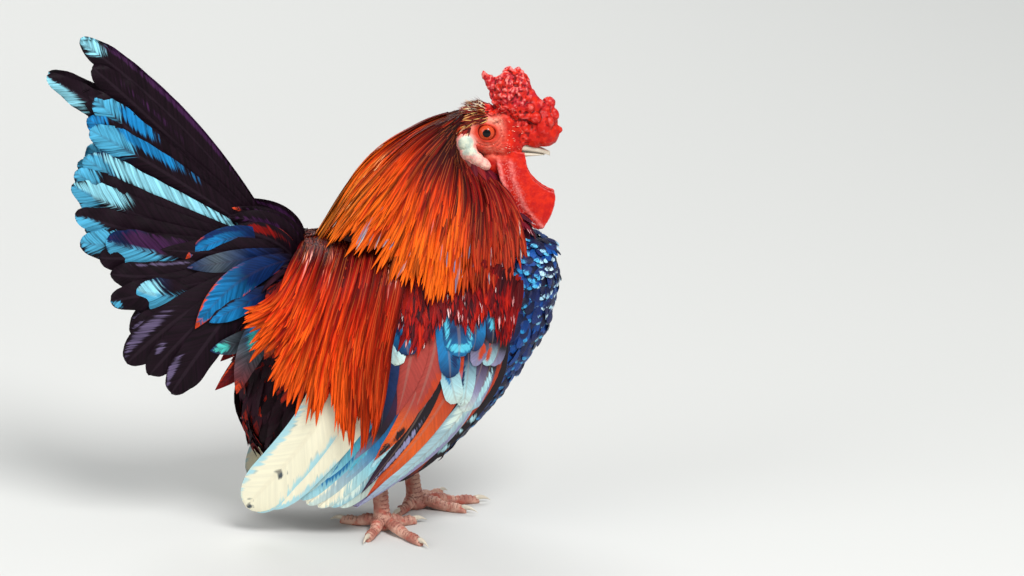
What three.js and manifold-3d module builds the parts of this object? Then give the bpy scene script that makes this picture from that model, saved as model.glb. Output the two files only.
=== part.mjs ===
// A short-legged bantam cock, standing, life size, in millimetres.
// +X is the way the bird faces, +Y its left side, +Z up. The soles stand on the plane Z = 0, and the
// origin lies on that plane below the middle of the bird.
//
// Feathers grow on sheets: smooth surfaces given by a few rows of points, from the roots to the tips.
// A sheet's point is found by two numbers: across, from one feather to the next, and along, from root
// to tip. Every point is written as [forward, out, up], where out is the distance from the bird's
// middle plane, so that one list serves both sides.
import * as THREE from "three";
import Module from "manifold-3d";

const wasm = await Module();
wasm.setup();
const { Manifold } = wasm;

// ---------------------------------------------------------------- driving sizes

const GAP = 0.3; // between two nodes that touch
const RIGHT = -1;
const LEFT = 1;
const SIDES = { right: RIGHT, left: LEFT };

// Torso: [forward, top, bottom, half width] from the vent to the breast.
const TORSO_STATIONS = [
  [-44, 112, 96, 0],
  [-38, 152, 68, 22],
  [-15, 178, 51, 36],
  [15, 181, 44, 44],
  [50, 181, 42, 47],
  [85, 184, 47, 47],
  [115, 190, 75, 43],
  [138, 192, 105, 35],
  [154, 186, 132, 22],
  [161.5, 166, 160, 0],
];
const KEEL = 0.2; // share of the width that the torso loses towards its underside
const BROAD = 0.8; // below 1, the torso's section is squarer than an ellipse

// Head: [forward, middle up, half height, half width] from the nape to the bill.
const HEAD_STATIONS = [
  [93, 258, 0, 0],
  [97, 258.5, 9, 8],
  [105, 259.5, 15, 12.4],
  [115, 259, 16.5, 13.6],
  [124, 256.5, 14, 12],
  [131, 253, 10.5, 9.4],
  [137, 250, 6.6, 6.6],
  [140, 249, 0, 0],
];
const EYE = { forward: 115.2, out: 10.2, up: 261, radius: 5.4 };
const LID = { tube: 1.5, out: 2.3, long: 1.12, tall: 0.92 }; // out: beyond the eye's centre
const BILL = {
  root: 130, tip: 155, topRoot: 254, tipUp: 243.6, mouthUp: 248.2, halfWidth: 5.4,
  overhang: 3.5, // of the upper half over the lower
};
const MOUTH = { corner: 130.5, length: 14, gap: 0.7 };
const NOSTRIL = { forward: 141, out: 4.6, up: 250.6, radii: [2, 1.6, 0.7], pitch: -0.3 };
const LOBE = { forward: 106, out: 13, up: 247.5, radii: [9.5, 3, 6.2], pitch: -0.72 };
const EAR = { forward: 102.3, out: 11.2, up: 263, radius: 2, tube: 0.8 };

// ---------------------------------------------------------------- curves and solids

const lerp = (a, b, s) => a + (b - a) * s;
const clamp01 = (s) => Math.min(1, Math.max(0, s));
const smooth = (s) => s * s * (3 - 2 * s);

// A repeatable source of small differences between like pieces.
function seeded(seed) {
  let state = seed * 7919 + 17;
  return () => {
    state = (state * 16807) % 2147483647;
    return (state / 2147483647) * 2 - 1;
  };
}

// A smooth line through points, by its share of the way.
function spline(points) {
  const curve = new THREE.CatmullRomCurve3(
    points.map((p) => new THREE.Vector3(...p)),
    false,
    "catmullrom",
  );
  return (share) => curve.getPoint(clamp01(share));
}

// A closed triangle mesh as a solid, turned so that its faces point out.
function solidOf(positions, triangles) {
  let volume = 0;
  const at = (i) => new THREE.Vector3(...positions.slice(3 * i, 3 * i + 3));
  for (let i = 0; i < triangles.length; i += 3) {
    const [a, b, c] = [0, 1, 2].map((k) => at(triangles[i + k]));
    volume += a.dot(b.cross(c));
  }
  const turned = [...triangles];
  if (volume < 0)
    for (let i = 0; i < turned.length; i += 3)
      [turned[i + 1], turned[i + 2]] = [turned[i + 2], turned[i + 1]];
  const mesh = new wasm.Mesh({
    numProp: 3,
    vertProperties: new Float32Array(positions),
    triVerts: new Uint32Array(turned),
  });
  return new Manifold(mesh);
}

// A closed solid through rings of points, with a pole point at each end.
function ringSolid(rings, firstPole, lastPole) {
  const count = rings[0].length;
  const points = [firstPole, ...rings.flat(), lastPole];
  const triangles = [];
  const index = (ring, k) => 1 + ring * count + (k % count);
  const last = rings.length - 1;
  for (let k = 0; k < count; k++) {
    triangles.push(0, index(0, k + 1), index(0, k));
    triangles.push(points.length - 1, index(last, k), index(last, k + 1));
    for (let r = 0; r < last; r++) {
      triangles.push(index(r, k), index(r, k + 1), index(r + 1, k + 1));
      triangles.push(index(r, k), index(r + 1, k + 1), index(r + 1, k));
    }
  }
  return solidOf(points.flatMap((p) => [p.x, p.y, p.z]), triangles);
}

// A three.js geometry, reshaped point by point if wanted, as a solid.
function geometrySolid(geometry, reshape = (p) => p) {
  const place = geometry.attributes.position;
  const seen = new Map();
  const positions = [];
  const order = [];
  for (let i = 0; i < place.count; i++) {
    const p = new THREE.Vector3().fromBufferAttribute(place, i);
    const key = [p.x, p.y, p.z].map((v) => Math.round(v * 1e4)).join();
    if (!seen.has(key)) {
      seen.set(key, positions.length / 3);
      const q = reshape(p);
      positions.push(q.x, q.y, q.z);
    }
    order.push(seen.get(key));
  }
  const faces = geometry.index ? [...geometry.index.array].map((i) => order[i]) : order;
  const triangles = [];
  for (let i = 0; i < faces.length; i += 3) {
    const [a, b, c] = faces.slice(i, i + 3);
    if (a !== b && b !== c && c !== a) triangles.push(a, b, c);
  }
  return solidOf(positions, triangles);
}

// An ellipsoid, turned about the bird's side-to-side axis.
function egg(centre, radii, { pitch = 0, around = 10, tall = 7, grow = 0 } = {}) {
  const turn = new THREE.Matrix4().makeRotationY(-pitch);
  return geometrySolid(new THREE.SphereGeometry(1, around, tall), (p) =>
    new THREE.Vector3(p.x * (radii[0] + grow), p.y * (radii[1] + grow), p.z * (radii[2] + grow))
      .applyMatrix4(turn)
      .add(new THREE.Vector3(...centre)),
  );
}

const join = (solids) => Manifold.union(solids);
const cut = (solid, ...others) => solid.subtract(join(others));

// The largest closed body of a solid, with any scrap left out.
function largest(solid) {
  const bodies = solid.decompose();
  return bodies.reduce((best, body) => (body.volume() > best.volume() ? body : best));
}

// ---------------------------------------------------------------- feather sheets

// rows: from roots to tips, each a list of [forward, out, up] from the first feather to the last.
// sweep: for each side, how far forward the tips move.
function sheet(rows, sweep = { [RIGHT]: 0, [LEFT]: 0 }) {
  const lines = rows.map(spline);
  return (across, along, side) => {
    const p = spline(lines.map((line) => line(across).toArray()))(along);
    return new THREE.Vector3(p.x + sweep[side] * along ** 2, side * p.y, p.z);
  };
}

// The way out of a sheet at a point, away from the bird.
function outOf(surface, across, along, side, away) {
  const step = 0.01;
  const a = clamp01(across - step);
  const b = clamp01(across + step);
  const t0 = clamp01(along - step);
  const t1 = clamp01(along + step);
  const dAcross = surface(b, along, side).sub(surface(a, along, side));
  const dAlong = surface(across, t1, side).sub(surface(across, t0, side));
  const n = dAcross.cross(dAlong).normalize();
  return n.dot(away(surface(across, along, side), side)) < 0 ? n.negate() : n;
}

const ROUND = 0.7; // how far a broad feather's rounded end runs on, as a share of its half width

// Shares of a feather's half width along it, from root to tip.
const LANCE = [0.5, 0.9, 1, 0.78, 0.1];
const BLADE = [0.34, 0.75, 1, 0.98, 0.45];
const VANE_THICK = [0.8, 0.55]; // at the root and at the tip
const LEVEL = 1.5; // between two feathers that overlap

// One feather as a thin closed vane, with the same triangles on both faces. Its width is in
// millimetres, or as many times its share of the sheet as cover says. Its root lies sink below the
// sheet and its tip lift above it, both moved out by level, and camber raises its shaft.
function vane(surface, away, side, f) {
  const { across, from, to, width, cover, count, shape, segments = 3, columns = 1, flat = false } = f;
  const { sink = 0, lift = 0, level = 0, camber = 0 } = f;
  const profile = new THREE.SplineCurve(shape.map((w, i) => new THREE.Vector2(i, w)));
  const positions = [];
  for (let i = 0; i <= segments; i++) {
    const s = i / segments;
    const a = across;
    const along = lerp(from, to, s);
    const middle = surface(a, along, side);
    const out = flat ? away(middle, side) : outOf(surface, a, along, side, away);
    const [a0, a1] = [clamp01(a - 0.02), clamp01(a + 0.02)];
    const sideways = surface(a1, along, side).sub(surface(a0, along, side));
    const broad = width ?? (cover * sideways.length()) / (a1 - a0) / count;
    const behind = surface(a, clamp01(along - 0.02), side);
    const forward = surface(a, clamp01(along + 0.02), side).sub(behind).normalize();
    sideways.addScaledVector(forward, -sideways.dot(forward)).addScaledVector(out, -sideways.dot(out));
    sideways.normalize();
    const half = Math.max(0.4, (profile.getPoint(s).y * broad) / 2);
    const thick = lerp(...VANE_THICK, s);
    middle.addScaledVector(out, level + lerp(-sink, lift, smooth(clamp01(3 * s))));
    for (const face of [1, -1])
      for (let c = 0; c <= columns; c++) {
        const w = (2 * c) / columns - 1;
        const p = middle.clone().addScaledVector(sideways, w * half);
        p.addScaledVector(out, (face * thick) / 2 + camber * half * (1 - w * w));
        if (i === segments) p.addScaledVector(forward, ROUND * half * (1 - w * w));
        positions.push(p.x, p.y, p.z);
      }
  }
  const stride = 2 * (columns + 1);
  const top = (i, c) => i * stride + c;
  const under = (i, c) => i * stride + columns + 1 + c;
  const triangles = [];
  const quad = (a, b, c, d) => triangles.push(a, b, c, a, c, d);
  for (let i = 0; i < segments; i++) {
    for (let c = 0; c < columns; c++) {
      quad(top(i, c), top(i + 1, c), top(i + 1, c + 1), top(i, c + 1));
      triangles.push(under(i, c), under(i + 1, c + 1), under(i + 1, c));
      triangles.push(under(i, c), under(i, c + 1), under(i + 1, c + 1));
    }
    quad(top(i, 0), under(i, 0), under(i + 1, 0), top(i + 1, 0));
    quad(top(i + 1, columns), under(i + 1, columns), under(i, columns), top(i, columns));
  }
  for (let c = 0; c < columns; c++) {
    quad(top(0, c + 1), under(0, c + 1), under(0, c), top(0, c));
    quad(top(segments, c), under(segments, c), under(segments, c + 1), top(segments, c + 1));
  }
  return solidOf(positions, triangles);
}

const JITTER = 0.04; // of a feather's place in its row

// A tier: a row of like vanes side by side over a sheet, each a little different from its neighbours.
// Neighbours overlap, so every second one lies a level higher.
function tier(surface, away, side, t, vary) {
  const { count, offset = 0, skip = 0, reach = 0.03, ...rest } = t;
  return Array.from({ length: count - skip }, (_, k) =>
    vane(surface, away, side, {
      ...rest,
      count,
      across: clamp01((k + 0.5 + offset + JITTER * vary()) / count),
      to: rest.to - reach + reach * vary(),
      level: LEVEL * (k % 2),
    }),
  );
}

// A closed slab that follows a sheet between two shares across and two along. thick and lift are
// functions of the shares of the way across and along the slab.
function slab(surface, away, side, { across, along, cells, thick, lift = () => 0 }) {
  const [na, nt] = cells;
  const positions = [];
  for (const face of [1, -1])
    for (let i = 0; i <= nt; i++)
      for (let c = 0; c <= na; c++) {
        const [u, v] = [c / na, i / nt];
        const a = lerp(across[0], across[1], u);
        const t = lerp(along[0], along[1], v);
        const out = outOf(surface, a, t, side, away);
        const p = surface(a, t, side).addScaledVector(out, lift(u, v) + (face * thick(u, v)) / 2);
        positions.push(p.x, p.y, p.z);
      }
  const layer = (nt + 1) * (na + 1);
  const at = (face, i, c) => face * layer + i * (na + 1) + c;
  const triangles = [];
  for (let i = 0; i < nt; i++)
    for (let c = 0; c < na; c++) {
      const corners = [[i, c], [i + 1, c], [i + 1, c + 1], [i, c + 1]];
      const [a, b, d, e] = corners.map((corner) => at(0, ...corner));
      triangles.push(a, b, d, a, d, e);
      const [p, q, r, s] = corners.map((corner) => at(1, ...corner));
      triangles.push(p, r, q, p, s, r);
    }
  const rim = (a, b) => {
    triangles.push(at(0, ...a), at(1, ...a), at(1, ...b));
    triangles.push(at(0, ...a), at(1, ...b), at(0, ...b));
  };
  for (let i = 0; i < nt; i++) {
    rim([i, 0], [i + 1, 0]);
    rim([i + 1, na], [i, na]);
  }
  for (let c = 0; c < na; c++) {
    rim([0, c + 1], [0, c]);
    rim([nt, c], [nt, c + 1]);
  }
  return solidOf(positions, triangles);
}

const awayFromMiddle = (p, side) => new THREE.Vector3(0, side, 0);
const awayFromNeck = (p) => new THREE.Vector3(p.x - 98, p.y, (p.z - 150) * 0.35);
const awayFromBack = (p, side) => new THREE.Vector3(0, side, 0.6);

// ---------------------------------------------------------------- torso

// Values at a place along a table whose first column is that place.
function station(table, place) {
  const last = table.length - 1;
  const rising = table[last][0] > table[0][0];
  let i = 0;
  while (i < last - 1 && (rising ? place > table[i + 1][0] : place < table[i + 1][0])) i++;
  const s = clamp01((place - table[i][0]) / (table[i + 1][0] - table[i][0]));
  const before = table[Math.max(0, i - 1)];
  const after = table[Math.min(last, i + 2)];
  return table[i].slice(1).map((value, k) => {
    const next = table[i + 1][k + 1];
    const slopeIn = (next - before[k + 1]) / 2;
    const slopeOut = (after[k + 1] - value) / 2;
    const h = s * s * (3 - 2 * s);
    return lerp(value, next, h) + slopeIn * s * (1 - s) ** 2 - slopeOut * s * s * (1 - s);
  });
}

const TORSO_RINGS = 12;
const TORSO_SIDES = 18;

function torsoCore(grow = 0) {
  const first = TORSO_STATIONS[0];
  const last = TORSO_STATIONS[TORSO_STATIONS.length - 1];
  const rings = [];
  for (let r = 1; r < TORSO_RINGS; r++) {
    const share = (1 - Math.cos((Math.PI * r) / TORSO_RINGS)) / 2;
    const forward = lerp(first[0], last[0], share);
    const [top, bottom, halfWidth] = station(TORSO_STATIONS, forward);
    const ring = [];
    for (let k = 0; k < TORSO_SIDES; k++) {
      const angle = (2 * Math.PI * k) / TORSO_SIDES;
      const low = (1 - Math.cos(angle)) / 2;
      const [across, tall] = [Math.sin(angle), Math.cos(angle)].map(
        (v) => Math.sign(v) * Math.abs(v) ** BROAD,
      );
      const out = across * (halfWidth + grow) * (1 - KEEL * low);
      const up = (top + bottom) / 2 + tall * ((top - bottom) / 2 + grow);
      ring.push(new THREE.Vector3(forward, out, up));
    }
    rings.push(ring);
  }
  const pole = (s, by) => new THREE.Vector3(s[0] + by, 0, (s[1] + s[2]) / 2);
  return ringSolid(rings, pole(first, -grow), pole(last, grow));
}

// Saddle: long pointed feathers from the back over the wings. Rows from roots to tips, front to rear.
const SADDLE = sheet([
  [[68, 2, 188], [30, 2, 186], [0, 2, 187]],
  [[62, 50, 169], [26, 48, 169], [-4, 34, 177]],
  [[52, 64, 126], [12, 62, 131], [-19, 48, 158]],
  [[46, 65, 83], [29, 65, 71], [3, 62, 84], [-21, 55, 113], [-37, 47, 149]],
]);
// The plumage that holds the saddle's roots: how far down the sheet it reaches, and how deep it is.
const SADDLE_PAD = { reach: 0.34, thick: 7, edge: 2.6, below: 1.2 };
const SADDLE_TIERS = [
  { count: 9, from: 0.26, to: 1.03, lift: 0 },
  { count: 8, from: 0.06, to: 0.66, lift: 3.6, offset: 0.3 },
];

function saddle(side) {
  const vary = seeded(side + 5);
  const padThick = (u, v) => lerp(SADDLE_PAD.thick, SADDLE_PAD.edge, v);
  const pad = slab(SADDLE, awayFromBack, side, {
    across: [0, 1],
    along: [0, SADDLE_PAD.reach],
    cells: [6, 3],
    thick: padThick,
    lift: (u, v) => -padThick(u, v) / 2 - SADDLE_PAD.below,
  });
  const vanes = SADDLE_TIERS.flatMap((t) =>
    tier(SADDLE, awayFromBack, side, { shape: LANCE, cover: 1.25, sink: 3.5, ...t }, vary),
  );
  return [pad, ...vanes];
}

// Pointed feathers under the tail, from the vent back and down.
const VENT = sheet([
  [[-22, 3, 122], [-26, 14, 108]],
  [[-46, 6, 98], [-42, 20, 84]],
  [[-68, 8, 67], [-48, 24, 60]],
]);

const vent = (side) =>
  tier(
    VENT,
    awayFromMiddle,
    side,
    { count: 3, from: 0, to: 1, width: 11, shape: LANCE, flat: true, reach: 0.08 },
    seeded(side + 9),
  );

// ---------------------------------------------------------------- neck and cape

// Cape: hackles from the nape and cheeks over the shoulders. Rows from roots to tips, nape to throat.
const CAPE = sheet([
  [[108, 0, 274], [101, 8, 271], [95, 12, 260], [98, 13, 244], [117, 9, 231]],
  [[72, 0, 263], [70, 21, 252], [84, 33, 232], [104, 31, 220], [126, 16, 216]],
  [[36, 0, 239], [43, 32, 223], [75, 51, 201], [102, 49, 194], [133, 27, 200]],
  [[1, 0, 187], [21, 34, 193], [66, 60, 170], [100, 61, 161], [138, 42, 180]],
]);
const NECK_DEPTH = 2.5; // of the neck's surface below the cape's sheet
const NECK_RINGS = [0.02, 0.13, 0.25, 0.37, 0.48]; // shares of the way down the cape that it fills
const NECK_LOW = [94, 0, 176]; // middle of the neck's foot, inside the shoulders
const THROAT_FORWARD = 6;
const CAPE_TIERS = [
  { count: 11, from: 0.38, to: 1.02, lift: 0 },
  { count: 9, from: 0.08, to: 0.76, lift: 3.6, offset: 0.3 },
];

const NECK_COLUMNS = 9;

function neckCore(grow = 0) {
  const loop = (along) => {
    const half = (side) =>
      Array.from({ length: NECK_COLUMNS }, (_, c) => {
        const across = c / (NECK_COLUMNS - 1);
        const out = outOf(CAPE, across, along, side, awayFromNeck);
        return CAPE(across, along, side).addScaledVector(out, grow - NECK_DEPTH);
      });
    const right = half(RIGHT);
    const left = half(LEFT);
    const throat = right[NECK_COLUMNS - 1].clone().add(left[NECK_COLUMNS - 1]).multiplyScalar(0.5);
    throat.x += THROAT_FORWARD + grow;
    return [...right, throat, ...left.slice(1).reverse()];
  };
  const rings = NECK_RINGS.map(loop);
  const widest = rings[rings.length - 1];
  const foot = new THREE.Vector3(...NECK_LOW);
  for (const [inward, down] of [[0.12, 0.15], [0.3, 0.62], [0.42, 1]])
    rings.push(
      widest.map((p) => {
        const q = p.clone().lerp(foot.clone().setZ(p.z), inward);
        return q.setZ(lerp(p.z, foot.z, down));
      }),
    );
  return ringSolid(rings, new THREE.Vector3(106, 0, 256 + grow), foot.setZ(foot.z - 4));
}

function cape() {
  return [RIGHT, LEFT].flatMap((side) => {
    const vary = seeded(side + 11);
    return CAPE_TIERS.flatMap((t) =>
      tier(CAPE, awayFromNeck, side, { shape: LANCE, cover: 1.25, sink: 4.5, ...t }, vary),
    );
  });
}

// ---------------------------------------------------------------- head

const HEAD_RINGS = 10;
const HEAD_SIDES = 12;

function headCore(grow = 0) {
  const first = HEAD_STATIONS[0];
  const last = HEAD_STATIONS[HEAD_STATIONS.length - 1];
  const rings = [];
  for (let r = 1; r < HEAD_RINGS; r++) {
    const share = (1 - Math.cos((Math.PI * r) / HEAD_RINGS)) / 2;
    const forward = lerp(first[0], last[0], share);
    const [middle, halfHeight, halfWidth] = station(HEAD_STATIONS, forward);
    const ring = [];
    for (let k = 0; k < HEAD_SIDES; k++) {
      const angle = (2 * Math.PI * k) / HEAD_SIDES;
      ring.push(
        new THREE.Vector3(
          forward,
          Math.sin(angle) * (halfWidth + grow),
          middle + Math.cos(angle) * (halfHeight + grow),
        ),
      );
    }
    rings.push(ring);
  }
  return ringSolid(
    rings,
    new THREE.Vector3(first[0] - grow, 0, first[1]),
    new THREE.Vector3(last[0] + grow, 0, last[1]),
  );
}

const eyeBall = (side, grow = 0) =>
  egg([EYE.forward, side * EYE.out, EYE.up], Array(3).fill(EYE.radius), { around: 11, tall: 7, grow });

// The corner of the mouth, cut into the cheeks behind the bill.
const mouthCut = () =>
  geometrySolid(new THREE.BoxGeometry(MOUTH.length, 30, MOUTH.gap), (p) =>
    p.add(new THREE.Vector3(MOUTH.corner + MOUTH.length / 2, 0, BILL.mouthUp - MOUTH.gap / 2)),
  );

// A slit of a nostril low on each side of the upper bill.
const nostril = (side) => {
  const { forward, out, up, radii, pitch } = NOSTRIL;
  return egg([forward, side * out, up], radii, { pitch, around: 6, tall: 5 });
};

// The swollen rim of the lids round the eye.
function lids(side) {
  return geometrySolid(new THREE.TorusGeometry(EYE.radius, LID.tube, 5, 12), (p) =>
    new THREE.Vector3(
      p.x * LID.long + EYE.forward,
      side * (EYE.out + LID.out + p.z),
      p.y * LID.tall + EYE.up,
    ),
  );
}

// The ear: a low ring of bristles with a shallow cup, behind and below the eye.
function ear(side) {
  return geometrySolid(new THREE.TorusGeometry(EAR.radius, EAR.tube, 4, 8), (p) =>
    new THREE.Vector3(p.x + EAR.forward, side * (EAR.out + p.z), p.y * 1.2 + EAR.up),
  );
}

const BILL_RINGS = 7;
const BILL_SIDES = 10;
const JAW_DEPTH = [5, 0.9]; // of the lower half, at its root and at its tip

// Upper or lower half of the bill, from its root inside the face to the tip.
function bill({ upper, grow = 0 }) {
  const rings = [];
  const length = BILL.tip - BILL.root - (upper ? 0 : BILL.overhang);
  for (let r = 0; r <= BILL_RINGS; r++) {
    const s = r / BILL_RINGS;
    const forward = BILL.root + length * s;
    const taper = Math.sqrt(1 - 0.96 * s ** 1.7);
    const top = lerp(BILL.topRoot, BILL.mouthUp + 0.8, s) + 2.4 * s * (1 - s);
    const hook = upper ? (BILL.tipUp - BILL.mouthUp) * s ** 4 : -1.2 * s * s;
    const mouth = BILL.mouthUp - 1.6 * s + hook * 0.6;
    const high = upper ? Math.max(top - 2.2 * s ** 3, mouth + 1.2) : mouth - MOUTH.gap;
    const low = upper ? mouth : mouth - MOUTH.gap - lerp(...JAW_DEPTH, s);
    const half = BILL.halfWidth * taper * (upper ? 1 : 0.86);
    const ring = [];
    for (let k = 0; k < BILL_SIDES; k++) {
      const angle = (2 * Math.PI * k) / BILL_SIDES;
      const swell = Math.max(0.25, half) + grow;
      ring.push(
        new THREE.Vector3(
          forward,
          Math.sin(angle) * swell,
          (high + low) / 2 + Math.cos(angle) * ((high - low) / 2 + grow),
        ),
      );
    }
    rings.push(ring);
  }
  const middle = (ring) =>
    ring.reduce((sum, p) => sum.add(p), new THREE.Vector3()).divideScalar(BILL_SIDES);
  const tip = middle(rings[BILL_RINGS]).add(new THREE.Vector3(0.4 + grow, 0, -0.2));
  return ringSolid(rings, middle(rings[0]), tip);
}

// The comb: a cushion in two masses, a grainy one behind and a smoother one in front, with a spike at
// the back. Each mass is an egg that swells into bulbs, parted by creases.
const COMB_MASSES = [
  { centre: [128, 0, 283], radii: [15.5, 12, 17.5], bulbs: 34, swell: 0.24, spread: 0.42 },
  { centre: [138, 0, 277], radii: [13.5, 11, 15.5], bulbs: 26, swell: 0.2, spread: 0.42 },
  { centre: [147.5, 0, 268], radii: [13.8, 11.5, 17], bulbs: 18, swell: 0.18, spread: 0.55 },
];
const COMB_SPIKE = { root: [121, 0, 282], tip: [112.3, 0, 299], radius: 5.5 };

function combMass({ centre, radii, bulbs, swell, spread }, seed) {
  const vary = seeded(seed);
  const ways = Array.from({ length: bulbs }, () =>
    new THREE.Vector3(vary(), 0.9 * vary(), 0.8 * vary() + 0.2).normalize(),
  );
  return geometrySolid(new THREE.SphereGeometry(1, 14, 10), (p) => {
    const near = ways.map((way) => 1 - way.distanceTo(p) / spread);
    const bump = Math.sqrt(Math.max(0, ...near));
    const r = 1 - swell * 0.5 + swell * bump;
    return new THREE.Vector3(...centre).add(new THREE.Vector3(...radii).multiply(p).multiplyScalar(r));
  });
}

function comb() {
  const { root, tip, radius } = COMB_SPIKE;
  const line = spline([root, [root[0] - 5.5, 0, 290], tip]);
  const rings = [0, 0.3, 0.6, 0.85].map((s) =>
    Array.from({ length: 8 }, (_, k) => {
      const angle = (2 * Math.PI * k) / 8;
      const r = radius * (1 - s) ** 0.8;
      return line(s).add(new THREE.Vector3(Math.cos(angle) * r, 0.8 * Math.sin(angle) * r, 0));
    }),
  );
  const spike = ringSolid(rings, new THREE.Vector3(...root).setZ(root[2] - 3), new THREE.Vector3(...tip));
  return join([spike, ...COMB_MASSES.map((mass, i) => combMass(mass, i + 3))]);
}

// Wattle: a broad leaf of skin, thicker at its rim, hung from the jaw. Rows from jaw to lower edge.
const WATTLE = sheet([
  [[121, 6.5, 243], [130, 6.5, 246], [139, 5.5, 245]],
  [[124, 8.5, 228], [134, 9.5, 230], [142, 7.5, 232]],
  [[131, 9.5, 211], [142, 11, 214], [151, 9, 220]],
  [[141, 10, 195], [150, 11, 199], [160, 9.5, 216]],
]);

const wattle = (side) =>
  slab(WATTLE, awayFromMiddle, side, {
    across: [0, 1],
    along: [0, 1],
    cells: [4, 6],
    thick: (u, v) => 2.2 + 1.6 * (2 * u - 1) ** 4 + 1.2 * v ** 4,
    lift: (u, v) => 0.8 * Math.sin(5 * v + 3 * u) * v,
  });

const earLobe = (side, grow = 0) =>
  egg([LOBE.forward, side * LOBE.out, LOBE.up], LOBE.radii, { pitch: LOBE.pitch, grow });

// ---------------------------------------------------------------- tail

// Main tail, side half: from the topmost sickle to the lowest feather.
const TAIL = sheet([
  [[-24, 2, 188], [-28, 4, 181], [-29, 6, 172], [-28, 9, 162], [-25, 12, 152]],
  [[-54, 3, 232], [-64, 4, 227], [-65, 7, 218], [-67, 9, 210], [-68, 11, 201], [-70, 13, 193],
    [-68, 15, 180], [-64, 17, 168], [-59, 18, 151], [-51, 18, 134]],
  [[-91, 3, 271], [-107, 5, 270], [-97, 9, 256], [-100, 13, 239], [-104, 17, 223], [-108, 20, 210],
    [-106, 24, 189], [-96, 26, 163], [-89, 27, 137], [-72, 25, 114]],
  [[-143, 3, 317], [-163, 5, 295], [-132, 10, 281], [-139, 16, 260], [-143, 21, 242], [-147, 25, 227],
    [-142, 30, 194], [-124, 33, 155], [-115, 33, 121], [-89, 30, 95]],
]);
const TAIL_FEATHERS = 11;
const TAIL_WIDTHS = [15, 21];

// Tail coverts and lesser sickles: they rise from the saddle's end and arch back and down.
const COVERTS = sheet([
  [[-1, 5, 175], [-3, 10, 173], [-4, 13, 170], [-5, 14, 167], [-4, 17, 163], [-2, 20, 159], [0, 23, 155]],
  [[-11, 7, 200], [-18, 13, 198], [-29, 18, 195], [-29, 22, 177], [-24, 25, 163], [-14, 28, 153],
    [-7, 31, 147]],
  [[-27, 10, 206], [-38, 16, 202], [-52, 23, 192], [-49, 28, 163], [-40, 30, 154], [-29, 32, 124],
    [-14, 34, 131]],
  [[-47, 12.5, 201], [-59, 19, 190], [-75, 27, 178], [-70, 32, 136], [-59, 33, 141], [-43, 33, 95],
    [-24, 35, 117]],
]);
const COVERT_WIDTHS = [19, 15, 16, 18, 15, 15, 12];
const COVERT_SHAPE = [0.5, 0.95, 1, 0.85, 0.15];
const SICKLE = [0.34, 0.75, 1, 0.85, 0.15];
const SICKLES = 2;
const RUMP = { centre: [-27, 4, 164], radii: [18, 13, 30], pitch: 0.3 };

// Feathers side by side in upright planes, each a step further out than the one above it.
const fan = (surface, side, widths, shapeOf, columns) =>
  widths.map((width, k) =>
    vane(surface, awayFromMiddle, side, {
      across: k / (widths.length - 1),
      from: 0,
      to: 1,
      width,
      shape: shapeOf(k),
      segments: 4,
      columns,
      camber: columns > 1 ? 0.12 : 0,
      flat: true,
    }),
  );

const coverts = (side) => fan(COVERTS, side, COVERT_WIDTHS, () => COVERT_SHAPE, 1);

// All the room across the bird's middle plane from a tail half.
const otherSide = (side) =>
  geometrySolid(new THREE.BoxGeometry(400, 100, 500), (p) =>
    p.add(new THREE.Vector3(-50, -side * (50 - GAP / 2), 150)),
  );

function tail(side) {
  const { centre, radii, pitch } = RUMP;
  const blades = Array.from({ length: TAIL_FEATHERS }, (_, k) =>
    lerp(...TAIL_WIDTHS, Math.sin((Math.PI * k) / (TAIL_FEATHERS - 1))),
  );
  return join([
    egg([centre[0], side * centre[1], centre[2]], radii, { pitch, around: 12, tall: 9 }),
    ...fan(TAIL, side, blades, (k) => (k < SICKLES ? SICKLE : BLADE), 2),
  ]);
}

// ---------------------------------------------------------------- wings

// Folded wing, hung low. Rows from the arm to the tips, leading edge to rear edge.
const WING = sheet(
  [
    [[129, 43, 158], [107, 48, 168], [72, 48, 168], [37, 44, 160]],
    [[120, 50, 117], [99, 57, 128], [63, 58, 128], [24, 53, 127]],
    [[93, 47, 76], [69, 54, 78], [37, 56, 79], [3, 52, 84]],
    [[54, 40, 32], [21, 42, 22], [-11, 37, 21], [-39, 28, 22]],
  ],
  { [RIGHT]: 0, [LEFT]: -9 },
);
const ARM = { reach: 0.34, thick: 6.5, edge: 1.6, depth: 5.2 };
const WING_TIERS = [
  { count: 9, from: 0.28, to: 1.0, lift: -2.9, segments: 4 },
  { count: 9, from: 0.2, to: 0.7, lift: 0, offset: 0.3, skip: 1 },
  { count: 8, from: 0.1, to: 0.44, lift: 2.9, skip: 2 },
  { count: 7, from: 0.03, to: 0.26, lift: 5.8, offset: 0.3, skip: 3 },
];
const QUILL = [0.6, 0.92, 1, 1, 0.62];

function wing(side) {
  const vary = seeded(side + 21);
  const arm = slab(WING, awayFromMiddle, side, {
    across: [0, 1],
    along: [0, ARM.reach],
    cells: [7, 4],
    thick: (u, v) => {
      const full = Math.sin(Math.PI * lerp(0.16, 0.9, v)) * Math.sin(Math.PI * lerp(0.15, 0.85, u));
      return ARM.edge + ARM.thick * full;
    },
    lift: () => -ARM.depth,
  });
  const vanes = WING_TIERS.flatMap((t) =>
    tier(WING, awayFromMiddle, side, { shape: QUILL, cover: 1.3, sink: 6, reach: 0.015, ...t }, vary),
  );
  return join([arm, ...vanes]);
}

// ---------------------------------------------------------------- legs

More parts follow.
